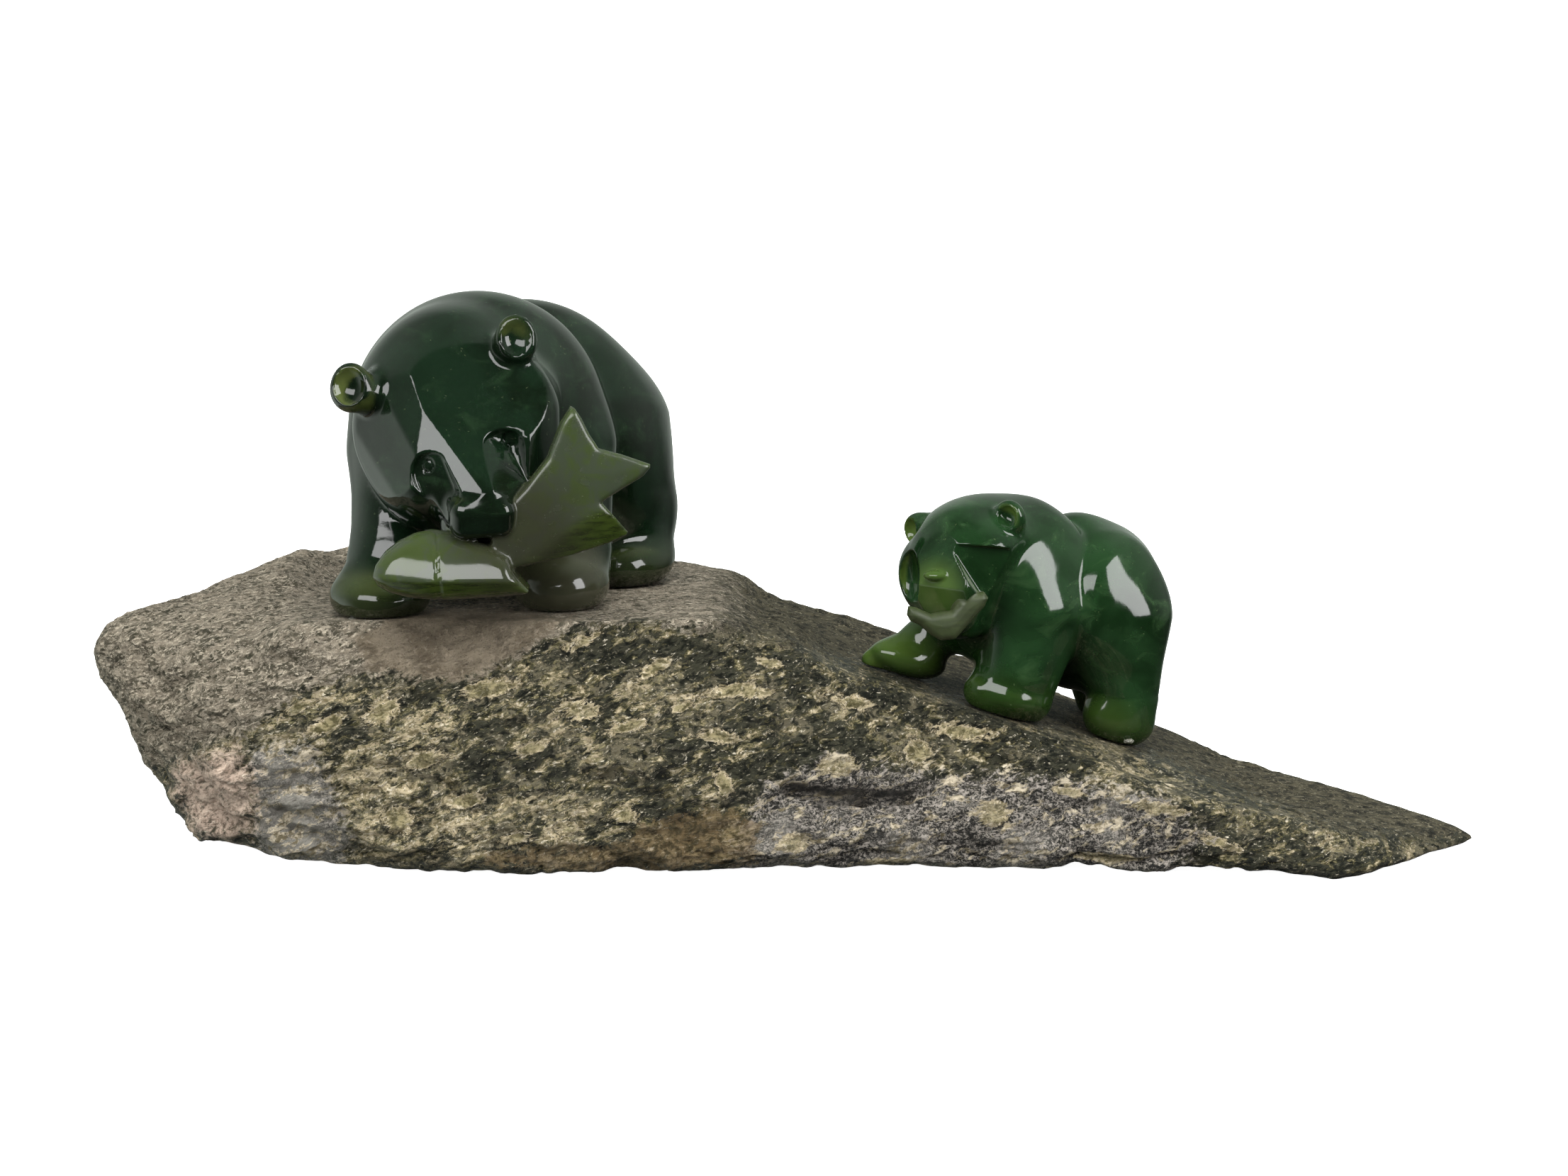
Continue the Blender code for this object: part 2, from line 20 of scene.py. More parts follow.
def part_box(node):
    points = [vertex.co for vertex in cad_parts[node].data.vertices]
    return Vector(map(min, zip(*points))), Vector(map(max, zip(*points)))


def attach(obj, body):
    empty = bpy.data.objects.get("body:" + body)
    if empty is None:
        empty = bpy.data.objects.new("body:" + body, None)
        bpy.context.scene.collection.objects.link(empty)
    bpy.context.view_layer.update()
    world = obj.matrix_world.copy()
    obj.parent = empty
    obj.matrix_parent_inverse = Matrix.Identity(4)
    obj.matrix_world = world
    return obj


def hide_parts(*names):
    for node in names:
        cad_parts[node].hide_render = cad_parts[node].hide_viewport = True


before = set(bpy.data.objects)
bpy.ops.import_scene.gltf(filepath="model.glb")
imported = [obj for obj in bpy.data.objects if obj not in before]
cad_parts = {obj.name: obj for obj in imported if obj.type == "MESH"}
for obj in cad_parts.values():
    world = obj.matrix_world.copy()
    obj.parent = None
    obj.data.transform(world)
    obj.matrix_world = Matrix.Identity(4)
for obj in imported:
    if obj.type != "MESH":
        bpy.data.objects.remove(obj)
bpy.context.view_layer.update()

MM = 0.001

# The carver's zero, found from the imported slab: its thin tip is 140.4 mm along, its middle is 0.67 mm across.
TIP_ALONG = 140.4
MIDDLE_ACROSS = 0.67
slab_low, slab_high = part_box("rock_base")
ZERO = np.array([slab_high.x - TIP_ALONG * MM, (slab_low.y + slab_high.y) / 2 - MIDDLE_ACROSS * MM, 0.0])


# ================================================================== grinding tools: distances in millimetres
CROWN_RUN = 4.0                             # how far in from the rim a domed face still rises


def unit(v):
    v = np.asarray(v, float)
    return v / np.linalg.norm(v)


def turned(heading=0.0, pitch=0.0, roll=0.0):
    """Axes as columns: forward, left, up. Pitch lifts the nose and roll lifts the left ear."""
    y, p, r = np.radians([heading, pitch, roll])
    about_z = np.array([[np.cos(y), -np.sin(y), 0], [np.sin(y), np.cos(y), 0], [0, 0, 1]])
    about_y = np.array([[np.cos(p), 0, -np.sin(p)], [0, 1, 0], [np.sin(p), 0, np.cos(p)]])
    about_x = np.array([[1, 0, 0], [0, np.cos(r), -np.sin(r)], [0, np.sin(r), np.cos(r)]])
    return about_z @ about_y @ about_x


def facing(right, up):
    """Axes of a board: across it, up it, and out of its front."""
    x = unit(right)
    z = unit(np.cross(x, up))
    return np.stack([x, np.cross(z, x), z], 1)


def seen_from(p, at, axes):
    return (p - np.asarray(at, float)) @ axes


def egg(p, at, radii, axes=None):
    q = p - np.asarray(at, float)
    if axes is not None:
        q = q @ axes
    r = np.broadcast_to(np.asarray(radii, float), (3,))
    near = np.sqrt(((q / r) ** 2).sum(-1)) + 1e-9
    steep = np.sqrt(((q / r**2) ** 2).sum(-1)) + 1e-9
    return near * (near - 1) / steep


def rounded(past_sides, edge):
    """A solid with rounded edges, from how far points are past each of its sides."""
    outside = np.sqrt((np.maximum(past_sides, 0) ** 2).sum(-1))
    return outside + np.minimum(past_sides.max(-1), 0) - edge


def brick(p, at, half, edge, axes):
    return rounded(np.abs(seen_from(p, at, axes)) - (np.asarray(half, float) - edge), edge)


def limb(p, a, b, ra, rb):
    a, b = np.asarray(a, float), np.asarray(b, float)
    run = b - a
    t = np.clip((p - a) @ run / (run @ run), 0, 1)
    return np.sqrt(((p - a - t[..., None] * run) ** 2).sum(-1)) - (ra + (rb - ra) * t)


def outline(flat, corners):
    """Distance to a drawn outline on a board, less than nothing inside it."""
    corners = np.asarray(corners, float)
    nearest = np.full(flat.shape[:-1], 1e18)
    inside = np.ones(flat.shape[:-1])
    for a, b in zip(corners, np.roll(corners, 1, 0)):
        run, off = b - a, flat - a
        t = np.clip((off @ run) / (run @ run), 0, 1)
        nearest = np.minimum(nearest, ((off - t[..., None] * run) ** 2).sum(-1))
        above, below = flat[..., 1] >= a[1], flat[..., 1] < b[1]
        leans = run[0] * off[..., 1] > run[1] * off[..., 0]
        inside = np.where((above & below & leans) | (~above & ~below & ~leans), -inside, inside)
    return inside * np.sqrt(nearest)


def board(q, corners, thick, edge, crown):
    """A board cut to an outline, its edges rounded and its faces domed by the crown."""
    rim = outline(q[..., :2], corners)
    half = thick / 2 + crown * (1 - np.exp(np.minimum(rim, 0) / CROWN_RUN)) - crown
    return rounded(np.stack([rim + edge, np.abs(q[..., 2]) - half + edge], -1), edge)


def ease(value, low, high):
    t = np.clip((value - low) / (high - low), 0, 1)
    return t * t * (3 - 2 * t)


def join(a, b, soft):
    h = np.maximum(soft - np.abs(a - b), 0) / soft
    return np.minimum(a, b) - h * h * soft / 4


def joined(stone, *masses):
    """Joins (softness, mass) pairs to a stone, one after another."""
    for soft, mass in masses:
        stone = join(stone, mass, soft)
    return stone


def grind(a, tool, soft):
    return -join(-a, tool, soft)


def looking(heading, rise):
    """A direction: heading 0 is to the front and 90 to the right."""
    a, e = np.radians([heading, rise])
    return np.array([np.sin(a) * np.cos(e), -np.cos(a) * np.cos(e), np.sin(e)])


def beyond(p, at, heading, rise):
    """How far points are in front of the plane through a place that looks along a direction."""
    return (p - np.asarray(at, float)) @ looking(heading, rise)


def flatten(a, p, at, heading, rise, soft=0.2):
    """Grinds a flat that passes through a place and looks along a direction."""
    return grind(a, -beyond(p, at, heading, rise), soft)


# ================================================================== mother bear and her salmon
BODY = turned(-107)
HEAD_AT, HEAD = (-68.4, -14, 83.4), turned(-70, -30, 16)

SALMON_FRONT_AT, SALMON_FRONT = (-66, -39.5, 59.3), facing((1, 0.05, 0), (0, 0, 1))
SALMON_TAIL_AT, SALMON_TAIL = (-48.4, -35, 65.4), facing((1, 0.22, 0), (0, 0.1, 1))
FRONT_OUTLINE = [(-16.3, -2.4), (-15.7, 0.1), (-13.8, 2.6), (-11, 4.8), (-7.7, 6.4), (-4.4, 7.1), (0, 6.6),
                 (7.4, 4.2), (11.2, 1.8), (12.4, -1.0), (16, -5.4), (13.8, -5.9), (7.2, -6.5), (-0.4, -6.9),
                 (-4.8, -6.8), (-9.1, -6.5), (-12.9, -5.6), (-15.3, -4.2)]
TAIL_OUTLINE = [(6.7, 25.2), (8.3, 22.7), (9.9, 19.3), (11.7, 16.4), (16.4, 15), (22.5, 12.7), (20.4, 10.4),
                (16.2, 8.1), (12, 5.6), (14.2, 3.0), (17.8, -1.1), (13.2, -2.9), (5.9, -4.8), (-1.4, -6.1),
                (-5.8, -7.0), (-10, -6.5), (-10.5, 2), (-3.1, 9.3), (-0.6, 12.4), (1.5, 14.9), (4.4, 21.7)]

MOTHER_SOLE = dict(at=(-65, -26, 46.2), along=0.010, across=-0.078)
CUB_SOLE = dict(at=(49.2, -22, 23.1), along=-0.310, across=-0.050)


def sole_height(sole, x, y):
    at = sole["at"]
    return at[2] + sole["along"] * (x - at[0]) + sole["across"] * (y - at[1])


# Flats of the face: the place they pass through, their heading and their rise.
KITE_TOP = (-72.1, -30.3, 89.4)
FACE_FLATS = [(KITE_TOP, 10, 39),               # bridge of the muzzle
              (KITE_TOP, -12.7, 25.2),          # its right bevel
              (KITE_TOP, -27, 25),              # brow
              ((-76.6, -30.4, 83.7), -43, 10),  # temple
              ((-80.0, -29.9, 78.6), -54, -4)]  # cheek
RIGHT_EYE, RIGHT_EYE_LOOKS = (-71.2, -33.9, 78.7), (-24, 6)
LEFT_EYE, LEFT_EYE_LOOKS = (-55.0, -29.2, 83.2), (18, 6)
EYE_RING, RING_HALF_WIDTH, RING_DEPTH = 1.3, 0.3, 0.5


def mother_ear(p, at, root, heading):
    """An ear as an upright tab with a shallow round cup."""
    axes = turned(heading, 6)
    at, forward, up = np.asarray(at, float), axes[:, 0], axes[:, 2]
    ear = join(egg(p, at, (2.4, 4.1, 4.8), axes), limb(p, at - 1.2 * up - 0.4 * forward, root, 3.8, 5.0), 1.6)
    return grind(ear, egg(p, at + 5.2 * forward + 0.5 * up, (5.0, 4.4, 5.0), axes), 0.3)


def drilled_ring(skull, p, at, looks):
    """An eye: a narrow ring drilled into the floor of its hollow."""
    off = p - np.asarray(at, float)
    deep = off @ looking(*looks)
    ring = np.sqrt((off**2).sum(-1) - deep**2 + 1e-9)
    drilled = np.maximum(np.abs(ring - EYE_RING) - RING_HALF_WIDTH, np.abs(deep) - 3.0)
    return grind(skull, np.maximum(drilled, -(skull + RING_DEPTH)), 0.25)


def eye_hollow(groove, floor, muzzle_side):
    """A round-topped groove that stops at a flat floor and at the side of the muzzle."""
    return -join(-groove, join(floor, muzzle_side, 0.4), 0.3)


def mother_head(p):
    h = seen_from(p, HEAD_AT, HEAD)
    skull = joined(egg(h, (0, 0, 0), (21, 20, 18)),
                   (6, egg(h, (5, 0, -7), (15, 16, 12))),
                   (3, egg(h, (9, -8.5, 0.5), (12, 9.5, 11.5))),                  # right cheek
                   (4, egg(p, (-59.3, -17.5, 84.5), (12.6, 16.5, 15.5))),         # left temple
                   (3, limb(p, (-57.0, -20.0, 87.0), (-55.4, -23.0, 75.0), 11.3, 9.8)),  # left brow and cheek
                   (3, limb(p, (-64.5, -20, 86), (-61.4, -31.8, 73.6), 11.0, 9.0)))      # muzzle
    for at, heading, rise in FACE_FLATS:
        skull = flatten(skull, p, at, heading, rise)
    skull = grind(skull, eye_hollow(limb(p, (-70.9, -37.4, 77.5), (-66.8, -40.0, 68.9), 5.0, 5.4),
                                    beyond(p, RIGHT_EYE, *RIGHT_EYE_LOOKS),
                                    beyond(p, (-67.4, -35.9, 80.0), -60, -12)), 0.3)
    skull = grind(skull, eye_hollow(limb(p, (-55.6, -33.4, 82.4), (-53.2, -37.5, 71.0), 4.4, 5.0),
                                    beyond(p, (-55.6, -29.3, 82.6), 18, 6),
                                    beyond(p, (-60.6, -32.7, 84.0), 50, 36.4)), 0.3)
    skull = joined(skull,
                   (1.4, egg(h, (23.8, -0.2, -5.0), (5.8, 8.2, 5.0))),            # lips on the fish
                   (2.0, brick(p, (-60.2, -37.4, 69.2), (4.2, 6.5, 4.1), 2.8, turned(-80, -14))),   # nose
                   (1.2, mother_ear(p, (-87.2, -24.5, 93.2), (-82.5, -20, 91), -96)),
                   (1.2, mother_ear(p, (-54.2, -20.0, 102.4), (-57.5, -14.5, 96), -84)))
    skull = drilled_ring(skull, p, RIGHT_EYE, RIGHT_EYE_LOOKS)
    return drilled_ring(skull, p, LEFT_EYE, LEFT_EYE_LOOKS)


def mother_body(p):
    shoulders = joined(egg(p, (-64.6, 8, 79.5), (26, 27.8, 29.0), BODY),
                       (5, egg(p, (-70, -4, 86), (16, 16, 20), BODY)),            # neck
                       (5, limb(p, (-79.4, 0, 74), (-80.8, -11, 56), 11.3, 9.2)),  # right foreleg
                       (2, limb(p, (-80.8, -11, 56), (-82.8, -15, 51.5), 9.2, 8.4)),
                       (2, egg(p, (-83.2, -17.5, 49.0), (12.5, 10.4, 6.5), turned(-95))),
                       (5, limb(p, (-49.5, 3, 75), (-46.8, -5, 56), 14.0, 10.8)),  # left foreleg
                       (2.5, egg(p, (-46.4, -11, 50.2), (12.5, 10.2, 7.5), turned(-90))),
                       (3, egg(p, (-58, 20, 71), (20, 22, 19), BODY)))            # belly
    haunches = egg(p, (-56.6, 31, 71.6), (22.8, 29.4, 32.4), BODY)
    for hip, knee, ankle, paw in (((-41.4, 40, 72.5), (-36.4, 35, 57), (-34.8, 30, 50), (-34.6, 26, 47.2)),
                                  ((-68, 41, 70), (-72, 38, 57), (-72.5, 37, 50), (-72.5, 34, 47.2))):
        haunches = joined(haunches, (11, limb(p, hip, knee, 16, 12)), (3, limb(p, knee, ankle, 12, 10.4)),
                          (2, egg(p, paw, (13, 10.2, 6.5), BODY)))
    return join(shoulders, haunches, 1.6)


LOBE_AT, LOBE_SLOPE = (5, -0.8, 2.5), unit((0.19, -0.32, 0.93))
SALMON_KEEL = -2.2                          # where the upper and the lower face of the front half meet


def salmon_front(p):
    """The front half: a domed upper face that meets a lower face along a keel."""
    q = seen_from(p, SALMON_FRONT_AT, SALMON_FRONT)
    rim = outline(q[..., :2], FRONT_OUTLINE)
    above = q[..., 1] - SALMON_KEEL
    gill = 0.5 * np.exp(-(((q[..., 0] + 2.6 + 0.06 * above) / 0.32) ** 2))
    back = q[..., 2] - 4.9 + gill + 0.016 * np.maximum(-1.0 - q[..., 0], 0) ** 2
    upper = 0.90 * (back + 0.30 * above + 0.045 * np.maximum(above, 0) ** 2)
    lower = 0.90 * (back - 0.46 * above)
    sides = grind(np.maximum(upper, lower), -(rim + 0.3), 2.2)
    return np.maximum(sides, -4.5 - q[..., 2])


def salmon_tail(p):
    """The tail and fins: a flat board whose lower lobe is ground to a slope."""
    q = seen_from(p, SALMON_TAIL_AT, SALMON_TAIL)
    tail = board(q, TAIL_OUTLINE, 5.4, 0.9, 0.5)
    return grind(tail, -((q - np.array(LOBE_AT)) @ LOBE_SLOPE), 0.3)


def salmon(p):
    return join(salmon_front(p), salmon_tail(p), 1.0)


def salmon_low(p):
    """1 on the faces of the salmon that look down, where more light comes through; a greener colour is painted
    there for that light.
    """
    below_keel = SALMON_KEEL - seen_from(p, SALMON_FRONT_AT, SALMON_FRONT)[..., 1]
    lobe = (seen_from(p, SALMON_TAIL_AT, SALMON_TAIL) - np.array(LOBE_AT)) @ LOBE_SLOPE
    front = 1 - ease(salmon_front(p), 0.3, 1.0)
    return np.maximum(front * ease(below_keel, -0.3, 0.5), (1 - front) * ease(lobe, -0.9, -0.1))


def mother(p):
    bear = join(mother_body(p), mother_head(p), 1.2 + 8 * ease(p[..., 2], 82, 96))
    bear = join(bear, salmon(p), 0.6)
    return grind(bear, p[..., 2] - sole_height(MOTHER_SOLE, p[..., 0], p[..., 1]), 0.4)


# ================================================================== cub and its fish
CUB_BODY = turned(204, 17)
CUB_PAW = turned(200, 17)
CUB_HEAD_AT, CUB_HEAD = (38.6, -17.5, 54.4), turned(229, -8, 15)
DOME_RADIUS = 36
CUB_SOLE_STEEPNESS = 1.05                   # height over the tilted sole beside the distance from it


def cub_ear(h, side, out, up):
    """An ear and its cup, moved outwards and up from where both would stand alike."""
    ear = join(egg(h, (-3, side * (11.4 + out), 9.0 + up), (2.5, 3.4, 3.6)),
               limb(h, (-4, side * 8, 6), (-3, side * (10.6 + out), 8 + up), 3.2, 2.8), 1.2)
    return grind(ear, egg(h, (-0.8, side * (12.1 + out), 9.5 + up), (2.2, 2.2, 2.5)), 0.4)


CUB_BROW = (33.7, -27.9, 61.3)              # where the brow, the muzzle and the left eye hollow meet


def cub_left_hollow(p):
    """Three flats: under the brow, beside the muzzle, and the floor."""
    under_brow = (p - np.array(CUB_BROW)) @ unit((-0.04, -0.35, -0.92))
    pocket = joined(beyond(p, (39.6, -28.4, 56.0), 14, 10), (0.3, beyond(p, CUB_BROW, 80, 32.4)),
                    (0.3, under_brow), (0.3, -egg(p, (40.0, -33.0, 56.0), 9.6)))
    return -pocket


def cub_head(p):
    h = seen_from(p, CUB_HEAD_AT, CUB_HEAD)
    skull = joined(egg(h, (0, -0.4, 0), (14, 13.9, 12.8)),
                   (3, egg(h, (5, 0, -7), (9, 8.5, 6))),
                   (2, egg(h, (4, -9, 0), (6.5, 4.8, 8))),                        # right cheek
                   (2, limb(p, (36.0, -19.5, 58.5), (33.6, -27.2, 52.6), 8.6, 6.8)))  # muzzle
    skull = flatten(skull, p, CUB_BROW, -34, 20)                                  # face
    skull = flatten(skull, p, (31.0, -29.7, 53.0), -34, -16)                      # snout
    skull = flatten(skull, p, (46.6, -25.9, 60.3), 62, -19, 1.5)                  # left cheek
    skull = grind(skull, cub_left_hollow(p), 0.3)
    skull = grind(skull, egg(p, (25.2, -23.0, 53.4), (2.9, 6.0, 6.2)), 0.4)       # right eye hollow
    return joined(skull, (0.6, egg(p, (30.9, -28.7, 55.2), (2.7, 1.7, 1.1))),     # nose
                  (1.2, cub_ear(h, 1, 0, -0.4)), (1.2, cub_ear(h, -1, 2.4, 0.2)))


def domed_side(p, at, radii, dome_top, heading, rise):
    """A mass of the cub's left side, ground to a wide, shallow dome."""
    dome = np.array(dome_top) - DOME_RADIUS * looking(heading, rise)
    return -join(-egg(p, at, radii, CUB_BODY), -egg(p, dome, DOME_RADIUS), 2)


def cub_body(p):
    reach = joined(limb(p, (38, -4, 43), (30, -6, 36.5), 7, 5),                   # right foreleg
                   (2, limb(p, (30, -6, 36), (18.4, -9.5, 33.0), 5, 2.2)),
                   (2, egg(p, (26.2, -8.5, 33.0), (8.4, 4.8, 3.9), CUB_PAW)))
    shoulders = joined(egg(p, (47.2, -7, 50.4), (16, 14.5, 17.4), CUB_BODY),
                       (5, egg(p, (39.9, -11, 54.0), (12.6, 12.8, 13.6), CUB_BODY)),
                       (2, domed_side(p, (50.8, -7.5, 48.5), (15.2, 15.6, 16), (55.9, -19.5, 53.4), 34, 19)),
                       (3, limb(p, (50.6, -14, 44), (47.6, -17.0, 32), 9.8, 8.2)),  # left foreleg
                       (2.5, limb(p, (52.6, -11, 44), (49.5, -14.6, 27), 10.5, 6.5)),
                       (2, egg(p, (46, -18.5, 27.4), (9.5, 6.2, 5.5), CUB_PAW)),
                       (1.0, egg(p, (47.6, -21.2, 27.6), (6.8, 4.6, 3.7), CUB_PAW)),  # toes
                       (4, egg(p, (43, -8, 41.9), (10, 9, 9))),                   # chest
                       (3, reach),
                       (3, egg(p, (58, -2, 40), (14, 10, 9), CUB_BODY)))          # belly
    haunches = joined(egg(p, (64.4, 3, 42.2), (16.2, 15, 18.4), CUB_BODY),
                      (3, egg(p, (60.6, 2.5, 50), (10.2, 11, 12.2), CUB_BODY)),
                      (2, domed_side(p, (65.3, -3.2, 45.0), (13.6, 16, 15.6), (71.0, -13.6, 52.2), 37, 15)),
                      (6, limb(p, (71, -6, 41), (71.6, -8.5, 25), 10, 7.2)),      # left hind leg
                      (2, egg(p, (70.4, -9.5, 20.5), (8, 6.4, 6), CUB_PAW)),
                      (3, limb(p, (66, 11, 38), (70, 13, 20), 9, 6.8)))           # right hind leg
    return join(shoulders, haunches, 1.2)


CUB_FISH_AT, CUB_FISH = (33.0, -31.6, 47.5), facing((1, 0.10, 0.02), (-0.03, 0.05, 1))
CUB_FISH_OUTLINE = [(-8.2, 0.5), (-7.9, 2.3), (-6.3, 1.9), (-3.4, 0.5), (-1.4, 0.8), (0.8, 1.0), (2.3, 3.0),
                    (4.7, 4.2), (7.6, 4.6), (8.4, 3.4), (7.6, 1.7), (5.4, -0.7), (3.2, -3.0), (1.5, -4.8),
                    (-1.4, -5.0), (-3.7, -3.6), (-5.6, -1.7), (-7.6, -0.7)]


def cub_fish(p):
    """A small flat fish across the mouth."""
    return board(seen_from(p, CUB_FISH_AT, CUB_FISH), CUB_FISH_OUTLINE, 5.0, 1.3, 0.9)


def cub(p):
    bear = join(cub_body(p), cub_head(p), 1.2 + 5 * ease(p[..., 2], 58, 66))
    bear = join(bear, cub_fish(p), 0.5)
    bear = grind(bear, egg(p, (34.4, -35.0, 49.9), (1.9, 3.0, 1.1)), 0.3)        # gap behind the fish
    over_sole = p[..., 2] - sole_height(CUB_SOLE, p[..., 0], p[..., 1])
    return grind(bear, over_sole / CUB_SOLE_STEEPNESS, 0.4)


# ================================================================== from a field to a skin
ROUGH_BLOCK = 6                             # grid steps to a side of the first, coarse blocks
NEAR_SURFACE = 1.25                         # coarse blocks within this many of their sides are worked out
AT_ONCE = 400000                            # points worked out together, to spare memory
SETTLE_ROUNDS, LONGEST_MOVE = 3, 1.0
SLOPE_STEP, LEAST_STEEP = 0.02, 0.05


def slope(field, p):
    g = np.empty_like(p)
    for axis in range(3):
        d = np.zeros(3)
        d[axis] = SLOPE_STEP
        g[:, axis] = field(p + d) - field(p - d)
    return g / (2 * SLOPE_STEP)


def settle(field, p):
    """Brings points that are near the surface right onto it."""
    for _ in range(SETTLE_ROUNDS):
        g = slope(field, p)
        steep = np.maximum((g**2).sum(1), LEAST_STEEP)
        p = p - np.clip(field(p) / steep, -LONGEST_MOVE, LONGEST_MOVE)[:, None] * g
    return p


def sample(field, low, high, step):
    """The field on a grid, worked out only near the surface."""
    n = np.ceil((np.asarray(high) - low) / step / ROUGH_BLOCK).astype(int) * ROUGH_BLOCK + 1
    marks = [low[i] + step * np.arange(n[i]) for i in range(3)]
    blocks = (n - 1) // ROUGH_BLOCK
    mids = [low[i] + step * ROUGH_BLOCK * (np.arange(blocks[i]) + 0.5) for i in range(3)]
    rough = field(np.stack(np.meshgrid(*mids, indexing="ij"), -1).reshape(-1, 3)).reshape(blocks)
    near = np.abs(rough) < NEAR_SURFACE * step * ROUGH_BLOCK

    def spread(coarse):
        for axis in range(3):
            coarse = np.repeat(coarse, ROUGH_BLOCK, axis)
        return np.pad(coarse, ((0, 1),) * 3, mode="edge")

    values, wanted = spread(rough), spread(near)
    for axis in range(3):
        wanted = wanted | np.roll(wanted, 1, axis) | np.roll(wanted, -1, axis)
    at = np.nonzero(wanted)
    points = np.stack([marks[k][at[k]] for k in range(3)], -1)
    values[at] = np.concatenate([field(part) for part in np.array_split(points, len(points) // AT_ONCE + 1)])
    return values


def skin(values, low, step):
    """One point in each grid cell that the surface crosses, and one face for each grid edge it crosses."""
    n = np.array(values.shape)
    cells = n - 1
    total, count = np.zeros((*cells, 3)), np.zeros(cells)
    number = np.arange(cells.prod()).reshape(cells)
    faces = []
    for axis in range(3):
        along = np.moveaxis(values, axis, 0)
        i, j, k = np.nonzero((along[:-1] < 0) != (along[1:] < 0))
        before, after = along[i, j, k], along[i + 1, j, k]
        others = [x for x in range(3) if x != axis]
        crossing = np.empty((len(i), 3))
        crossing[:, axis] = i + before / (before - after)
        crossing[:, others[0]], crossing[:, others[1]] = j, k
        ring = []
        for dj, dk in ((0, 0), (-1, 0), (-1, -1), (0, -1)):
            cell = np.empty((len(i), 3), int)
            cell[:, axis], cell[:, others[0]], cell[:, others[1]] = i, j + dj, k + dk
            np.add.at(total, tuple(cell.T), crossing)
            np.add.at(count, tuple(cell.T), 1)
            ring.append(number[tuple(cell.T)])
        quad = np.stack(ring, 1)
        flip = (before < 0) == (axis == 1)
        quad[flip] = quad[flip][:, ::-1]
        faces.append(quad)
    faces = np.concatenate(faces)
    used, corner = np.unique(faces, return_inverse=True)
    points = total.reshape(-1, 3)[used] / count.reshape(-1)[used][:, None]
    return np.asarray(low) + step * points, corner.reshape(faces.shape)


def put(name, data):
    """Stands a mesh, a lamp or a camera in the scene."""
    thing = bpy.data.objects.new(name, data)
    bpy.context.scene.collection.objects.link(thing)
    return thing


def put_cage(name, cage):
    mesh = bpy.data.meshes.new(name)
    cage.to_mesh(mesh)
    cage.free()
    return put(name, mesh)


def make_mesh(name, points, faces):
    """Points in the carver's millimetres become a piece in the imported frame's metres."""
    mesh = bpy.data.meshes.new(name)
    mesh.vertices.add(len(points))
    mesh.vertices.foreach_set("co", (points * MM + ZERO).astype(np.float32).ravel())
    mesh.loops.add(faces.size)
    mesh.loops.foreach_set("vertex_index", faces.astype(np.int32).ravel())
    mesh.polygons.add(len(faces))
    mesh.polygons.foreach_set("loop_start", np.arange(0, faces.size, faces.shape[1], dtype=np.int32))
    mesh.update(calc_edges=True)
    mesh.shade_smooth()
    return put(name, mesh)


def corners_of(piece):
    co = np.empty(len(piece.data.vertices) * 3, np.float32)
    piece.data.vertices.foreach_get("co", co)
    return (co.reshape(-1, 3).astype(float) - ZERO) / MM


def move_corners(piece, points):
    piece.data.vertices.foreach_set("co", (points * MM + ZERO).astype(np.float32).ravel())


def finer_near(piece, field, spots):
    """Halves the faces round each (place, reach) and settles the new points on the surface."""
    for at, reach in spots:
        cage = bmesh.new()
        cage.from_mesh(piece.data)
        centre, near = Vector(np.asarray(at) * MM + ZERO), reach * MM
        edges = [e for e in cage.edges if ((e.verts[0].co + e.verts[1].co) / 2 - centre).length < near]
        bmesh.ops.subdivide_edges(cage, edges=edges, cuts=1, use_grid_fill=True)
        bmesh.ops.triangulate(cage, faces=[f for f in cage.faces if len(f.verts) > 4])
        cage.to_mesh(piece.data)
        cage.free()
    points = corners_of(piece)
    close = np.zeros(len(points), bool)
    for at, reach in spots:
        close |= np.linalg.norm(points - np.asarray(at), axis=1) < reach + 1
    points[close] = settle(field, points[close])
    move_corners(piece, points)
    piece.data.update()
    piece.data.shade_smooth()


def keep_values(piece, name, values):
    layer = piece.data.attributes.new(name, "FLOAT", "POINT")
    layer.data.foreach_set("value", np.asarray(values, np.float32))


def soften(piece, values, rounds):
    """Averages a value along the edges of a mesh."""
    ends = np.empty(len(piece.data.edges) * 2, np.int32)
    piece.data.edges.foreach_get("vertices", ends)
    a, b = ends.reshape(-1, 2).T
    links = np.bincount(a, minlength=len(values)) + np.bincount(b, minlength=len(values))
    for _ in range(rounds):
        sums = np.bincount(a, values[b], len(values)) + np.bincount(b, values[a], len(values))
        values = (values + sums) / (1 + links)
    return values


THICK_STONE = 30.0                          # stone deeper than this lets no light through
SIGHT_LEANS = ((0, 0, 0), (0.5, 0.2, 0.3), (-0.4, 0.3, -0.4))
JUST_INSIDE = 0.05
THICKNESS_ROUNDS = 6


def measure_thickness(piece):
    """How much stone lies behind each point of the skin, in millimetres, along three slanted lines."""
    mesh = piece.data
    tree = BVHTree.FromObject(piece, bpy.context.evaluated_depsgraph_get())
    normals = np.empty(len(mesh.vertices) * 3, np.float32)
    mesh.vertex_normals.foreach_get("vector", normals)
    normals = normals.reshape(-1, 3)
    depth = np.zeros(len(mesh.vertices))
    for lean in SIGHT_LEANS:
        for i, vert in enumerate(mesh.vertices):
            line = -Vector(normals[i]) + Vector(lean)
            line.normalize()
            far_side = tree.ray_cast(vert.co + line * JUST_INSIDE * MM, line)[3] or 0
            depth[i] += min(far_side / MM, THICK_STONE)
    return soften(piece, depth / len(SIGHT_LEANS), THICKNESS_ROUNDS)


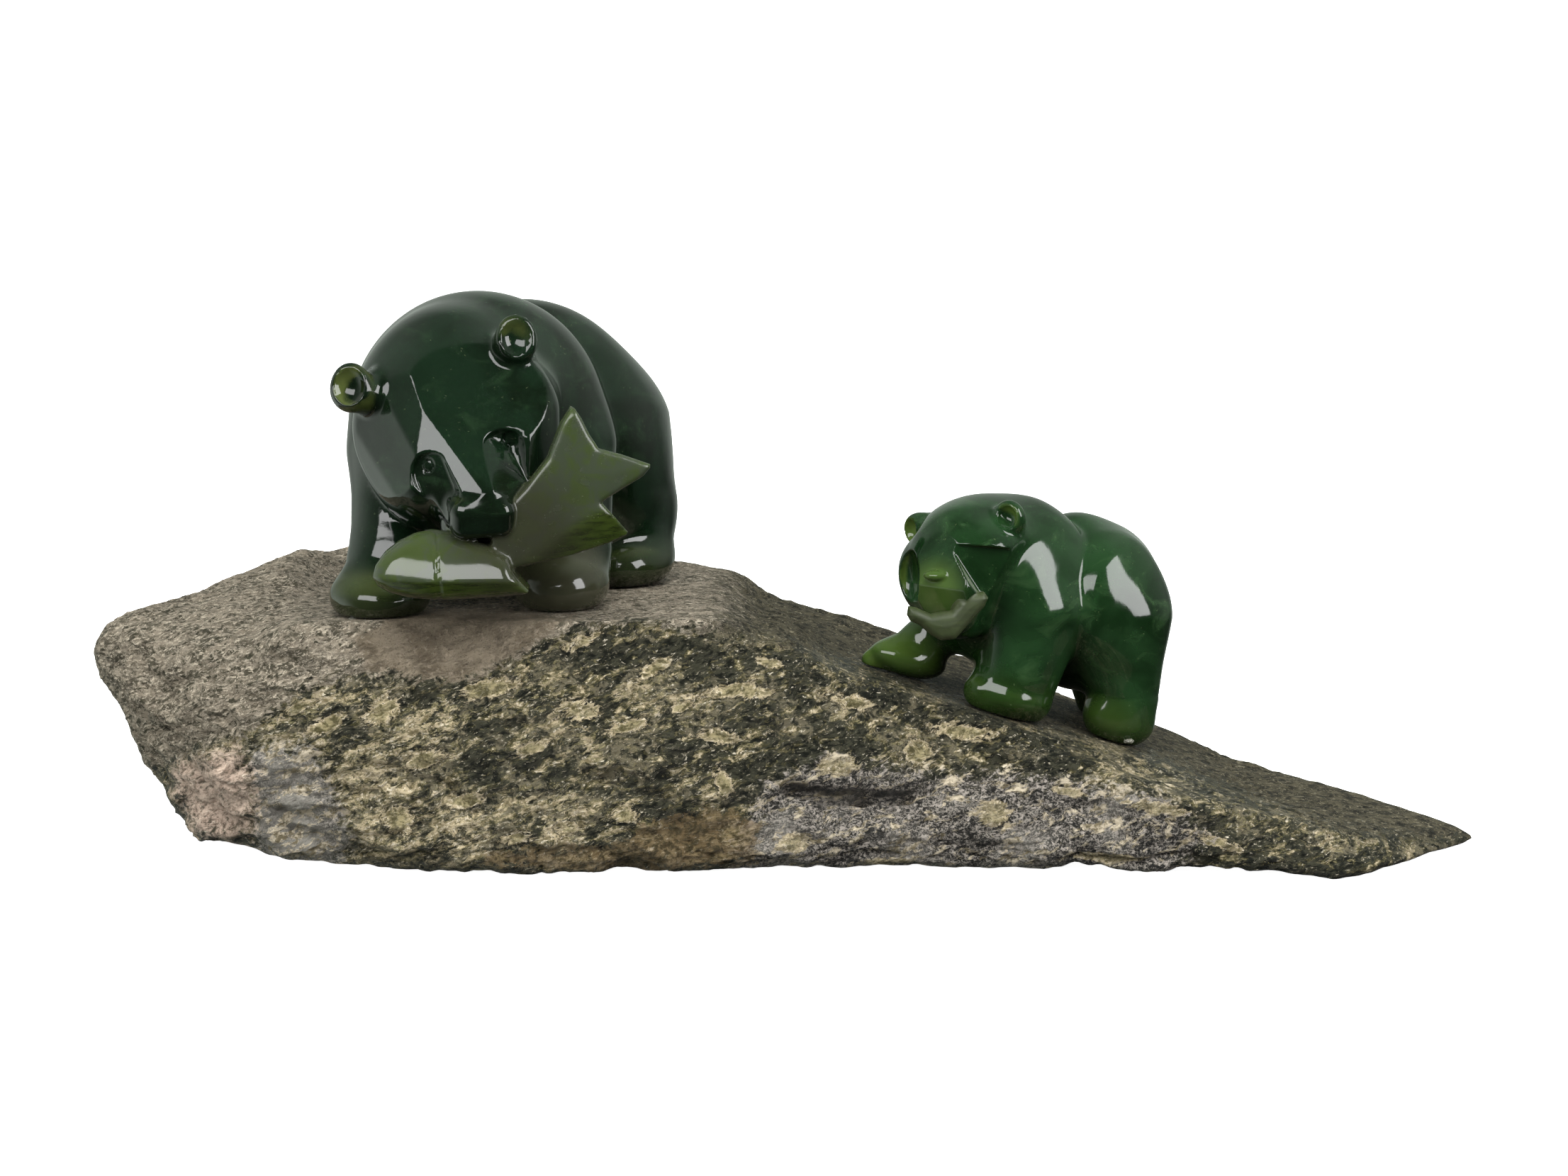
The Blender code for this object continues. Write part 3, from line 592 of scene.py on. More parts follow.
# ================================================================== the slab
# Cross sections: the place along the slab, then (across, height) corners: front foot, front low, front high,
# brow, crown, rear edge, rear face, rear foot, rear sole, front sole.
SLAB_SECTIONS = [
    (-145.9, (0, 30.5), (-1.5, 31.5), (-2.0, 33), (-1, 34.4), (0.5, 35.0),
     (2, 34.5), (2, 32.5), (1, 31), (0.7, 30.6), (0.3, 30.4)),
    (-144, (-2, 27), (-5, 29), (-6.5, 32), (-4, 35.5), (1, 37),
     (6, 36), (7, 33), (4, 28), (2, 27), (0, 26.6)),
    (-140, (-8, 23), (-12, 26), (-14, 32), (-9, 37.2), (0, 39.2),
     (10, 38.6), (14, 32), (8, 24), (4, 22), (-3, 22)),
    (-134, (-14, 13), (-20, 18), (-22, 30), (-15, 38.5), (2, 40.6),
     (17, 40.2), (24, 32), (14, 12), (8, 11), (-6, 11)),
    (-126, (-21, 3), (-29, 10.5), (-31, 24), (-22, 38), (2, 41.8),
     (28, 40.6), (36, 31), (25, 2.5), (15, 1.5), (-10, 1.5)),
    (-114, (-37, 1.2), (-41, 9), (-42, 22), (-30, 38.5), (2, 44.3),
     (43, 44.2), (50, 30), (43, 1.2), (34, 0), (-26, 0)),
    (-97, (-47, 1), (-50, 9), (-49, 22), (-36, 39.5), (4, 45.4),
     (55, 46), (60, 30), (54, 1.2), (46, 0), (-38, 0)),
    (-65, (-56, 0.6), (-57.5, 9), (-52, 24), (-39, 38.5), (6, 43.6),
     (58, 44.6), (62, 27), (58, 1.2), (49, 0), (-44, 0)),
    (-32, (-54, 1.4), (-56, 9), (-49, 24), (-28, 44), (14, 42),
     (57, 42.2), (61, 24), (56, 1.2), (47, 0), (-43, 0)),
    (-12, (-56, 0.6), (-57, 8.5), (-49, 23), (-28, 42.2), (14, 39.5),
     (56, 38), (61, 20), (55, 1.2), (46, 0), (-44, 0)),
    (0, (-55.5, 0.8), (-57, 8.5), (-48, 22), (-27.5, 40.2), (14, 37),
     (55, 32.4), (60, 18), (54, 1.2), (45, 0), (-44, 0)),
    (25, (-52, 1.4), (-54, 7.5), (-44, 19), (-19, 31), (16, 28.8),
     (54, 24.6), (58, 13), (52, 1.2), (44, 0), (-41, 0)),
    (50, (-55, 0.8), (-56, 6.5), (-48, 14), (-35, 23), (6, 21.5),
     (44, 17.6), (49, 9), (43, 1), (36, 0), (-44, 0)),
    (75, (-54, 1), (-56, 5), (-53, 10), (-46, 15.2), (-8, 13.6),
     (31, 11.6), (36, 6), (30, 1), (22, 0), (-43, 0)),
    (95, (-59, 0.4), (-61, 3.5), (-57, 7), (-48, 10.6), (-18, 8.4),
     (13, 6.6), (17, 3), (12, 0.6), (6, 0), (-50, 0)),
    (115, (-56.5, 0.4), (-58, 2), (-54, 3.8), (-48, 6), (-26, 5.6),
     (-4, 4.4), (-1, 2.4), (-5, 0.6), (-10, 0), (-48, 0)),
    (130, (-42, 0.6), (-43, 1.2), (-41.5, 2.2), (-37, 3.4), (-28, 3.8),
     (-20, 3.4), (-18, 2.1), (-21, 0.7), (-24, 0.4), (-38, 0.4)),
    (138, (-36, 0.9), (-36.5, 1.3), (-36, 1.8), (-34.5, 2.3), (-31, 2.7),
     (-28.8, 2.5), (-28.4, 1.7), (-29.2, 1.1), (-30, 0.9), (-34, 0.9)),
    (140.4, (-34.2, 1.5), (-34.4, 1.6), (-34.3, 1.7), (-34, 1.8), (-33.4, 1.9),
     (-33, 1.8), (-33, 1.7), (-33.2, 1.55), (-33.4, 1.5), (-33.8, 1.45)),
]
SLAB_STATIONS = 360                         # rings of points along the slab
SIDE_POINTS = (24, 34, 40, 56, 44, 16, 20, 8, 12, 12)   # points on each side of a ring
CORNER_PULL = 0.35                          # how strongly a side bends towards its neighbours
END_CROWDING = 0.035                        # how far rings move towards the two ends
REST_GAP = 0.3                              # glue between a sole and the stone
SEAT_FADE = 12                              # how far outside a seat the stone is still raised or lowered
SEAT_REACH = (5, 9)                         # stone this far above or below a seat begins to be left, and is
SEAT_WEAR, SEAT_GRIT = 0.88, 0.15           # share of the relief worn off a seat, and the most left there
THIN_END, THIN_RELIEF = (1.0, 12.0), 0.15   # thicknesses over which relief grows, and its share at first
FOOT_RISE, FOOT_RELIEF = (0.2, 3.0), 0.20   # the same for heights above the table
MOTHER_SEAT = dict(sole=MOTHER_SOLE, x=(-98, -16), y=(-33, 48))
CUB_SEAT = dict(sole=CUB_SOLE, x=(12, 84), y=(-22, 20))


def curve(p1, p2, leaving, arriving, t):
    """A smooth run from one value to the next, with the slope at each end."""
    return ((2 * t**3 - 3 * t**2 + 1) * p1 + (t**3 - 2 * t**2 + t) * leaving
            + (3 * t**2 - 2 * t**3) * p2 + (t**3 - t**2) * arriving)


def between_sections(places, table, x):
    i = np.clip(np.searchsorted(places, x, side="right") - 1, 0, len(places) - 2)
    before, after = np.maximum(i - 1, 0), np.minimum(i + 2, len(places) - 1)
    span = (places[i + 1] - places[i])[:, None, None]
    t = (x - places[i])[:, None, None] / span
    p0, p1, p2, p3 = table[before], table[i], table[i + 1], table[after]
    slope1 = (p2 - p0) / (places[i + 1] - places[before])[:, None, None] * span
    slope2 = (p3 - p1) / (places[after] - places[i])[:, None, None] * span
    return curve(p1, p2, slope1, slope2, t)


def round_sections(corners):
    """Points round closed sections, with their corners rounded."""
    rings = []
    for i, count in enumerate(SIDE_POINTS):
        p0, p1, p2, p3 = (corners[:, (i + k) % corners.shape[1]][:, None] for k in (-1, 0, 1, 2))
        t = ((np.arange(count) + 0.5) / count)[None, :, None]
        rings.append(curve(p1, p2, CORNER_PULL * (p2 - p0), CORNER_PULL * (p3 - p1), t))
    return np.concatenate(rings, 1)


def seat_share(points, seat):
    """How far stone belongs to a bear's standing place, and how high that place is there."""
    x, y, z = points[..., 0], points[..., 1], points[..., 2]
    level = sole_height(seat["sole"], x, y) - REST_GAP
    off_x = np.maximum(0, np.maximum(seat["x"][0] - x, x - seat["x"][1]))
    off_y = np.maximum(0, np.maximum(seat["y"][0] - y, y - seat["y"][1]))
    share = (1 - ease(np.hypot(off_x, off_y), 0, SEAT_FADE)) * (1 - ease(np.abs(z - level), *SEAT_REACH))
    return share, level


# ------------------------------------------------------------------ broken stone
SEED_PRIME, CELL_PRIMES, STIRRER = 7919, (73856093, 19349663, 83492791), 1274126177
LOW_31_BITS, LOW_16_BITS = 0x7FFFFFFF, 0xFFFF
LAYER_SHIFT, LAYER_FADE, LAYER_SHRINK = 31.7, 0.55, 2.03


def scatter(cell, seed):
    """A fixed number from 0 to 1 for each cell of a grid."""
    mixed = np.zeros(cell.shape[:-1], np.int64) + seed * SEED_PRIME
    for axis, prime in enumerate(CELL_PRIMES):
        mixed = mixed ^ (cell[..., axis] * prime)
    mixed = (mixed ^ (mixed >> 13)) * STIRRER & LOW_31_BITS
    return ((mixed ^ (mixed >> 15)) & LOW_16_BITS) / LOW_16_BITS


def lumps(points, size, seed):
    """Smooth noise from -1 to 1, with lumps of the given size."""
    q = points / np.asarray(size, float)
    base = np.floor(q).astype(np.int64)
    t = q - base
    t = t * t * t * (t * (6 * t - 15) + 10)
    total = np.zeros(points.shape[:-1])
    for corner in np.ndindex(2, 2, 2):
        share = np.prod(np.where(np.array(corner) == 1, t, 1 - t), -1)
        total += share * scatter(base + np.array(corner), seed)
    return total * 2 - 1


def layered(points, size, seed, depth):
    """Smooth noise with finer and weaker noise laid over it."""
    total, strength, most = 0, 1.0, 0
    size = np.asarray(size, float) * np.ones(3)
    for level in range(depth):
        total = total + strength * lumps(points + LAYER_SHIFT * level, size, seed + level)
        most += strength
        strength, size = strength * LAYER_FADE, size / LAYER_SHRINK
    return total / most


def outward(grid):
    """Unit normals of a closed loft."""
    along = np.gradient(grid, axis=0)
    around = np.roll(grid, -1, 1) - np.roll(grid, 1, 1)
    n = np.cross(along, around)
    return n / (np.linalg.norm(n, axis=-1, keepdims=True) + 1e-9)


SIGHT_RISE = 0.2126


def as_seen(points):
    """Places on the slab seen from a little above the front: along, and height plus a fifth of the depth."""
    return np.stack([points[..., 0], points[..., 2] + SIGHT_RISE * points[..., 1]], -1)


# Cracks in the front face: two ends, how wide, how deep. Ledges stand out in the same way.
CRACKS = [((1.5, 6.0), (16, 4.6), 1.2, 5.0), ((16, 4.6), (25, 4.6), 1.1, 4.2),
          ((25, 4.6), (29, 6.2), 0.9, 2.4), ((-60, 20.5), (-42, 17.0), 0.8, 1.2),
          ((-83, 11.5), (-66, 7.0), 0.9, 1.5), ((-66, 7.0), (-60, 0.0), 0.8, 1.2),
          ((-36, 8.0), (-22, 4.5), 0.8, 1.2), ((-108, 22), (-90, 27), 0.8, 1.0),
          ((-128, 17), (-112, 20), 0.9, 1.2), ((40, -2.4), (48, -1.8), 0.6, 1.0),
          ((56, -9.6), (80, -8.0), 0.7, 1.0), ((-94, -4), (-84, -9), 0.8, 1.2),
          ((-100, 5), (-92, 14), 0.8, 0.9), ((-12, 20), (4, 17), 0.7, 0.9),
          ((30, 14), (44, 12.6), 0.7, 0.9)]
LEDGES = [((0, 8.2), (14, 7.0), 1.6, 1.6), ((14, 7.0), (27, 7.0), 1.5, 1.4),
          ((-36, -12.4), (-5, -12.2), 1.2, 1.2), ((-84, 0), (-76, -4), 3.4, 1.5),
          ((-63, -9), (-50, -11), 2.2, 1.2), ((38, -1.2), (48, -0.6), 1.0, 0.8),
          ((-125, 2), (-114, -6), 3.0, 1.4), ((-104, -2), (-96, -9), 3.0, 1.2)]
FULL_CRACK_SHADE = 4.0                            # a crack this deep gets the full painted shade
LEAF_STEPS = 6
FOOT_WOBBLE = 2.0


def along_line(flat, a, b, wide, blunt):
    """1 on a short line, fading away beside it. Blunt is 2 for a furrow and 4 for a step."""
    a, run = np.asarray(a, float), np.subtract(b, a).astype(float)
    t = np.clip((flat - a) @ run / (run @ run), 0, 1)
    return np.exp(-((np.linalg.norm(flat - a - t[..., None] * run, axis=-1) / wide) ** blunt))


def broken_relief(points, normals):
    """How far the stone stands out of the smooth loft: broad waves, thin layers, chips, cracks and ledges."""
    front = ease(-normals[..., 1], 0.1, 0.6)
    waves = 1.1 * layered(points, (30, 26, 16), 3, 2)
    wander = np.stack([layered(points, 9, 20 + k, 3) for k in range(3)], -1)
    bent = points + 3.5 * wander
    leaf = layered(bent, (17, 9, 4.6), 5, 4) * LEAF_STEPS
    steps = (np.floor(leaf) + ease(leaf - np.floor(leaf), 0.80, 1.0)) / LEAF_STEPS
    chips = layered(bent, (4.6, 3.6, 2.2), 9, 3)
    grit = layered(points, (2.0, 1.8, 1.3), 14, 2)
    total = waves + (0.9 + 2.1 * front) * steps + (0.5 + 0.5 * front) * chips + 0.22 * grit
    flat = as_seen(points + 1.0 * wander)
    for a, b, wide, deep in CRACKS:
        total = total - front * deep * along_line(flat, a, b, wide, 2)
    for a, b, wide, deep in LEDGES:
        total = total + front * deep * along_line(flat, a, b, wide, 4)
    return total


def loft_slab():
    places = np.array([row[0] for row in SLAB_SECTIONS], float)
    table = np.array([row[1:] for row in SLAB_SECTIONS], float)
    share = np.linspace(0, 1, SLAB_STATIONS)
    xs = places[0] + (places[-1] - places[0]) * (share - END_CROWDING * np.sin(2 * np.pi * share))
    rings = round_sections(between_sections(places, table, xs))
    grid = np.concatenate([np.broadcast_to(xs[:, None, None], (*rings.shape[:2], 1)), rings], -1)
    middle = (rings[..., 1].min(1) + rings[..., 1].max(1)) / 2
    upper = grid[..., 2] > middle[:, None]
    calm = np.zeros(grid.shape[:2])
    for seat in (MOTHER_SEAT, CUB_SEAT):
        part, level = seat_share(grid, seat)
        part = part * upper
        grid[..., 2] += (level - grid[..., 2]) * part
        calm = np.maximum(calm, part)
    normals = outward(grid)
    thin = ease(rings[..., 1].max(1) - rings[..., 1].min(1), *THIN_END)[:, None]
    foot = ease(grid[..., 2], *FOOT_RISE)
    relief = (broken_relief(grid, normals) * (1 - SEAT_WEAR * calm)
              * (THIN_RELIEF + (1 - THIN_RELIEF) * thin) * (FOOT_RELIEF + (1 - FOOT_RELIEF) * foot))
    relief = np.where(calm > 0.5, np.minimum(relief, SEAT_GRIT), relief)
    grid = grid + normals * relief[..., None]
    low_edge = ease(-grid[..., 1], 25, 45) * (1 - ease(grid[..., 2], 1, 7)) * thin
    grid[..., 2] += low_edge * FOOT_WOBBLE * (0.35 + layered(grid * (1, 0, 0), (10, 9, 9), 41, 3))
    grid[..., 2] = np.maximum(grid[..., 2], 0)
    return grid


def make_slab():
    grid = loft_slab()
    stations, around = grid.shape[:2]
    number = np.arange(stations * around).reshape(stations, around)
    turn = np.roll(number, -1, 1)
    faces = np.stack([number[:-1], number[1:], turn[1:], turn[:-1]], -1).reshape(-1, 4)
    slab = make_mesh("slab_stone_face", grid.reshape(-1, 3), faces)
    cage = bmesh.new()
    cage.from_mesh(slab.data)
    ends = bmesh.ops.holes_fill(cage, edges=[e for e in cage.edges if e.is_boundary])["faces"]
    bmesh.ops.triangulate(cage, faces=ends)
    bmesh.ops.recalc_face_normals(cage, faces=cage.faces)
    cage.to_mesh(slab.data)
    cage.free()
    slab.data.shade_smooth()
    keep_slab_zones(slab, grid.reshape(-1, 3))
    return slab


# The broken front meets the weathered top along this line.
BROW_LINE = [(-150, -5), (-130, 8.6), (-108, 17), (-96, 26), (-83, 29), (-63, 27.5), (-52, 33.6),
             (-42, 39), (-29, 40.5), (-22.5, 38.5), (-5.6, 36.7), (15.7, 31.1), (37, 22.4), (43.6, 20),
             (76.7, 11.6), (95, 3.9), (112, -3), (137, -5.6), (150, -6)]
MOUND = [(-76, 42), (-60, 42.3), (-43, 40.3), (-53, 33.4), (-64, 27.2), (-73, 28), (-83, 29.6), (-87, 36.5)]
PINK = [(-124, 11), (-109, 13.3), (-106, 6), (-107, -3), (-112, -7), (-120, -4), (-125, 5)]
GREYS = ([(-107, 14), (-94, 15), (-90, 7.6), (-85, -5), (-90, -12), (-106, -12), (-107, 6)],
         [(-4, 6), (8, 12), (30, 8), (52, 8), (76, 4), (84, -4), (76, -14), (-12, -14), (-8, -4)])
PALE = [(-132, 24), (-112, 28), (-84, 26), (-66, 18), (-64, 6), (-42, 5), (-34, -4), (-44, -9),
        (-72, -9), (-86, -11), (-106, -12), (-108, 8), (-126, 10)]
RUST = [(-22, 1), (-10, 2), (-4, -2), (-6, -9), (-30, -12), (-60, -9), (-58, -6), (-34, -5)]

# Flecks: middle, half length, half height, slant in degrees.
FLECKS = [(-59, 26, 6.3, 2.3, 8), (-80, 21.6, 4.2, 2.6, 25), (-41, 21.6, 4.4, 2.3, -6),
          (-31, 18.2, 4.9, 1.3, 14), (-71, 11.7, 4.2, 2.0, 28), (-63, 3.5, 4.4, 1.8, 4),
          (-31, 0.5, 2.8, 2.1, -10), (-53, -4, 4.2, 1.4, 6), (-43, -1.8, 2.3, 1.5, 10),
          (-41, 35.2, 5.0, 1.3, 26), (-26, 30, 3.9, 1.4, 28), (-76, -0.4, 3.2, 3.4, 60),
          (-9, 25.3, 7.4, 1.7, -2), (14, 23, 5.6, 1.7, -12), (11, 10.3, 4.9, 2.0, 2),
          (36, 16.7, 7, 1.8, -6), (27, 12.6, 3.5, 2.6, -4), (-13, 16.3, 4.2, 1.6, -8),
          (-12, 7.2, 1.6, 3.6, 20), (42, 0.5, 3.6, 3.0, 10), (2, -5, 3.8, 1.9, 8),
          (63, -8, 8.4, 1.1, -2), (74, 1.9, 7.6, 1.2, -8), (-10, -3.4, 3.2, 2.6, -20),
          (-50, 14, 3.6, 1.2, 20), (-21, 22, 2.8, 1.0, 20), (-91, 19, 4.6, 1.6, 24),
          (-3, 31, 3.4, 1.0, -8), (57, 5, 4.0, 1.2, -12), (86, -5, 4.4, 1.1, -16), (20, -9, 4.6, 1.0, 0),
          (-97, 22, 3.6, 1.1, 20)]


def inside_patch(flat, corners, edge):
    """From 1 well inside a patch to -1 well outside it."""
    return np.clip(-outline(flat, corners) / edge, -1, 1)


def keep_slab_zones(slab, points):
    """Writes on the slab where each kind of stone is, and where shade is painted into the cracks. Zones of the
    front are -1 on the rest of the slab.
    """
    x, y, _ = points.T
    flat = as_seen(points)
    brow = np.interp(x, *np.array(BROW_LINE).T)
    in_front = ease(-y, 5, 15)
    fleck = np.full(len(x), -1.0)
    for along, up, long, tall, slant in FLECKS:
        c, s = math.cos(math.radians(slant)), math.sin(math.radians(slant))
        dx, dz = flat[:, 0] - along, flat[:, 1] - up
        fleck = np.maximum(fleck, 1 - np.hypot((dx * c + dz * s) / long, (dz * c - dx * s) / tall))
    cracks = [min(deep / FULL_CRACK_SHADE, 1) * along_line(flat, a, b, wide, 2) for a, b, wide, deep in CRACKS]
    keep_values(slab, "top", np.clip((flat[:, 1] - brow) / 6, -1, 1))
    keep_values(slab, "mound", inside_patch(flat, MOUND, 5))
    pink, rust, *greys = (inside_patch(flat, patch, 6) for patch in (PINK, RUST, *GREYS))
    for zone, share in (("pink", pink), ("grey", np.max(greys, 0)), ("rust", rust), ("fleck", fleck)):
        keep_values(slab, zone, share * in_front - (1 - in_front))
    keep_values(slab, "pale", ease(inside_patch(flat, PALE, 8), -0.6, 0.6) * in_front)
    # painted shade in the cracks, darker for deeper ones
    keep_values(slab, "crack_shade", np.max(cracks, 0) * in_front)
    keep_values(slab, "to_the_tip", ease(x, -30, 5))


# ================================================================== shader bench
class Tone:
    """One output socket. Operators add a Math node to a number, and a Vector Math node to a colour."""

    def __init__(self, bench, socket):
        self.bench, self.socket = bench, socket

    def plain(self):
        return self.socket.type == "VALUE"

    def work(self, operation, left, right):
        sides = (left, right)
        if all(side.plain() if isinstance(side, Tone) else isinstance(side, (int, float)) for side in sides):
            return self.bench.node("ShaderNodeMath", {"operation": operation}, {0: left, 1: right})
        left, right = ((side,) * 3 if isinstance(side, (int, float)) else side for side in sides)
        return self.bench.node("ShaderNodeVectorMath", {"operation": operation}, {0: left, 1: right})

    def __add__(self, other):
        return self.work("ADD", self, other)

    def __sub__(self, other):
        return self.work("SUBTRACT", self, other)

    def __rsub__(self, other):
        return self.work("SUBTRACT", other, self)

    def __mul__(self, other):
        return self.work("MULTIPLY", self, other)

    def __truediv__(self, other):
        return self.work("DIVIDE", self, other)

    __radd__ = __add__
    __rmul__ = __mul__


class Bench:
    """The node tree of one material or of the world."""

    def __init__(self, tree):
        self.tree = tree
        tree.nodes.clear()

    def node(self, kind, settings=None, inputs=None, out=0):
        made = self.tree.nodes.new(kind)
        for setting, value in (settings or {}).items():
            setattr(made, setting, value)
        for socket, value in (inputs or {}).items():
            if isinstance(value, Tone):
                self.tree.links.new(value.socket, made.inputs[socket])
            else:
                made.inputs[socket].default_value = value
        return Tone(self, made.outputs[out]) if len(made.outputs) else None

    def millimetres(self):
        return self.node("ShaderNodeTexCoord", out="Object") * (1 / MM)

    def kept(self, name):
        return self.node("ShaderNodeAttribute", {"attribute_name": name}, out="Fac")

    def noise(self, at, size, detail=3.0, rough=0.5, bend=0.0):
        """Smooth noise about 0.5 with lumps of a size in millimetres. A size for each axis stretches them."""
        stretch = (size,) * 3 if isinstance(size, (int, float)) else size
        return self.node("ShaderNodeTexNoise", None, {"Vector": at / stretch, "Scale": 1.0, "Detail": detail,
                                                      "Roughness": rough, "Distortion": bend}, "Fac")

    def step(self, value, low, high):
        """0 below low, 1 above high, smooth between."""
        return self.node("ShaderNodeMapRange", {"interpolation_type": "SMOOTHSTEP"},
                         {"Value": value, "From Min": low, "From Max": high}, "Result")

    def mix(self, share, under, over):
        under, over = ((*side, 1.0) if isinstance(side, tuple) else side for side in (under, over))
        return self.node("ShaderNodeMix", {"data_type": "RGBA"}, {0: share, 6: under, 7: over}, 2)

    def coats(self, colour, *coats):
        """Lays (share, colour) coats over a colour, one after another."""
        for share, coat in coats:
            colour = self.mix(share, colour, coat)
        return colour

    def most(self, one, other):
        return self.node("ShaderNodeMath", {"operation": "MAXIMUM"}, {0: one, 1: other})

    def bump(self, height):
        """Height is in millimetres."""
        return self.node("ShaderNodeBump", None, {"Height": height, "Strength": 1.0, "Distance": MM})

    def surface(self, **finish):
        inputs = {name.replace("_", " "): value for name, value in finish.items()}
        shader = self.node("ShaderNodeBsdfPrincipled", None, inputs)
        self.node("ShaderNodeOutputMaterial", None, {"Surface": shader})


def new_material(name):
    material = bpy.data.materials.new(name)
    material.use_nodes = True
    return material, Bench(material.node_tree)


# ------------------------------------------------------------------ nephrite
THIN_FROM, THICK_FROM = 3.0, 17.0           # millimetres of stone behind the skin
POLISH = 0.09
STONE_BENDING = 1.61
MOUTH_BROWN = (0.020, 0.020, 0.012)         # the salmon's stone beside the mouth
# Brown painted on the mother's left front paw as a reflection of the brown stone it stands on.
PAW_BROWN_REFLECTION = tuple(1.9 * part for part in MOUTH_BROWN)
DARK_RAY = 0.45                             # a ray's brightness beside the stone round it


def nephrite(name, deep, cloudy, bright, olive, thin, speck, fish, fish_low):
    """Polished stone, darker where it is thick, as the light that shines through thin stone is painted in; the
    fish's colours where the mesh says so.
    """
    material, bench = new_material(name)
    kept, mix, step, noise = bench.kept, bench.mix, bench.step, bench.noise
    at = bench.millimetres()
    clouds = noise(at, 16, 4, 0.55, 0.6)
    wisps = noise(at + (40, 40, 40), (9, 14, 6), 5, 0.6, 1.2)
    grains = noise(at, 0.9, 2, 0.6)
    # Painted light: where the stone is thin, and in the painted glow zone, the colour of light shining through
    # it is laid on.
    light_through = bench.most(1 - step(kept("stone_behind"), THIN_FROM, THICK_FROM), kept("lit"))
    stone = bench.coats(mix(step(clouds, 0.36, 0.64), deep, cloudy),
                        (step(wisps, 0.52, 0.74) * 0.7, bright),
                        (kept("olive") * 0.75, olive),
                        # painted reflection of the brown stone on the paw
                        (kept("brown"), PAW_BROWN_REFLECTION),
                        (light_through, thin),
                        (step(grains, 0.66, 0.76) * step(wisps, 0.42, 0.6) * 0.5, speck))

    rays = noise(at + (20, 20, 20), (6.0, 5.0, 1.1), 4, 0.6)
    blotches = noise(at + (60, 60, 60), 5.0, 5, 0.65, 0.8)
    # The lower-face fish colour: greener, partly the stone's own tone and, on the salmon's lower faces, painted
    # light coming through them; with darker rays.
    belly = mix(step(rays, 0.40, 0.64), fish_low, tuple(DARK_RAY * part for part in fish_low))
    flank = mix(step(blotches, 0.42, 0.60) * 0.6, fish, fish_low)
    fish_stone = bench.coats(flank, (kept("fish_low"), belly), (kept("near_mouth") * 0.8, MOUTH_BROWN),
                             (step(grains, 0.70, 0.78) * 0.5, speck))

    worn = noise(at + (90, 90, 90), 3.2, 4, 0.6)
    rough = POLISH + 0.07 * step(worn, 0.5, 0.8) + 0.16 * kept("matt")
    wheel_marks = 0.05 * noise(at, 5.5, 2, 0.5) + 0.006 * noise(at, 0.7, 3, 0.6)
    bench.surface(Base_Color=mix(kept("fish"), stone, fish_stone), Roughness=rough, IOR=STONE_BENDING,
                  Subsurface_Weight=0.12, Subsurface_Radius=(0.6, 1.0, 0.5), Subsurface_Scale=0.002,
                  Normal=bench.bump(wheel_marks))
    return material


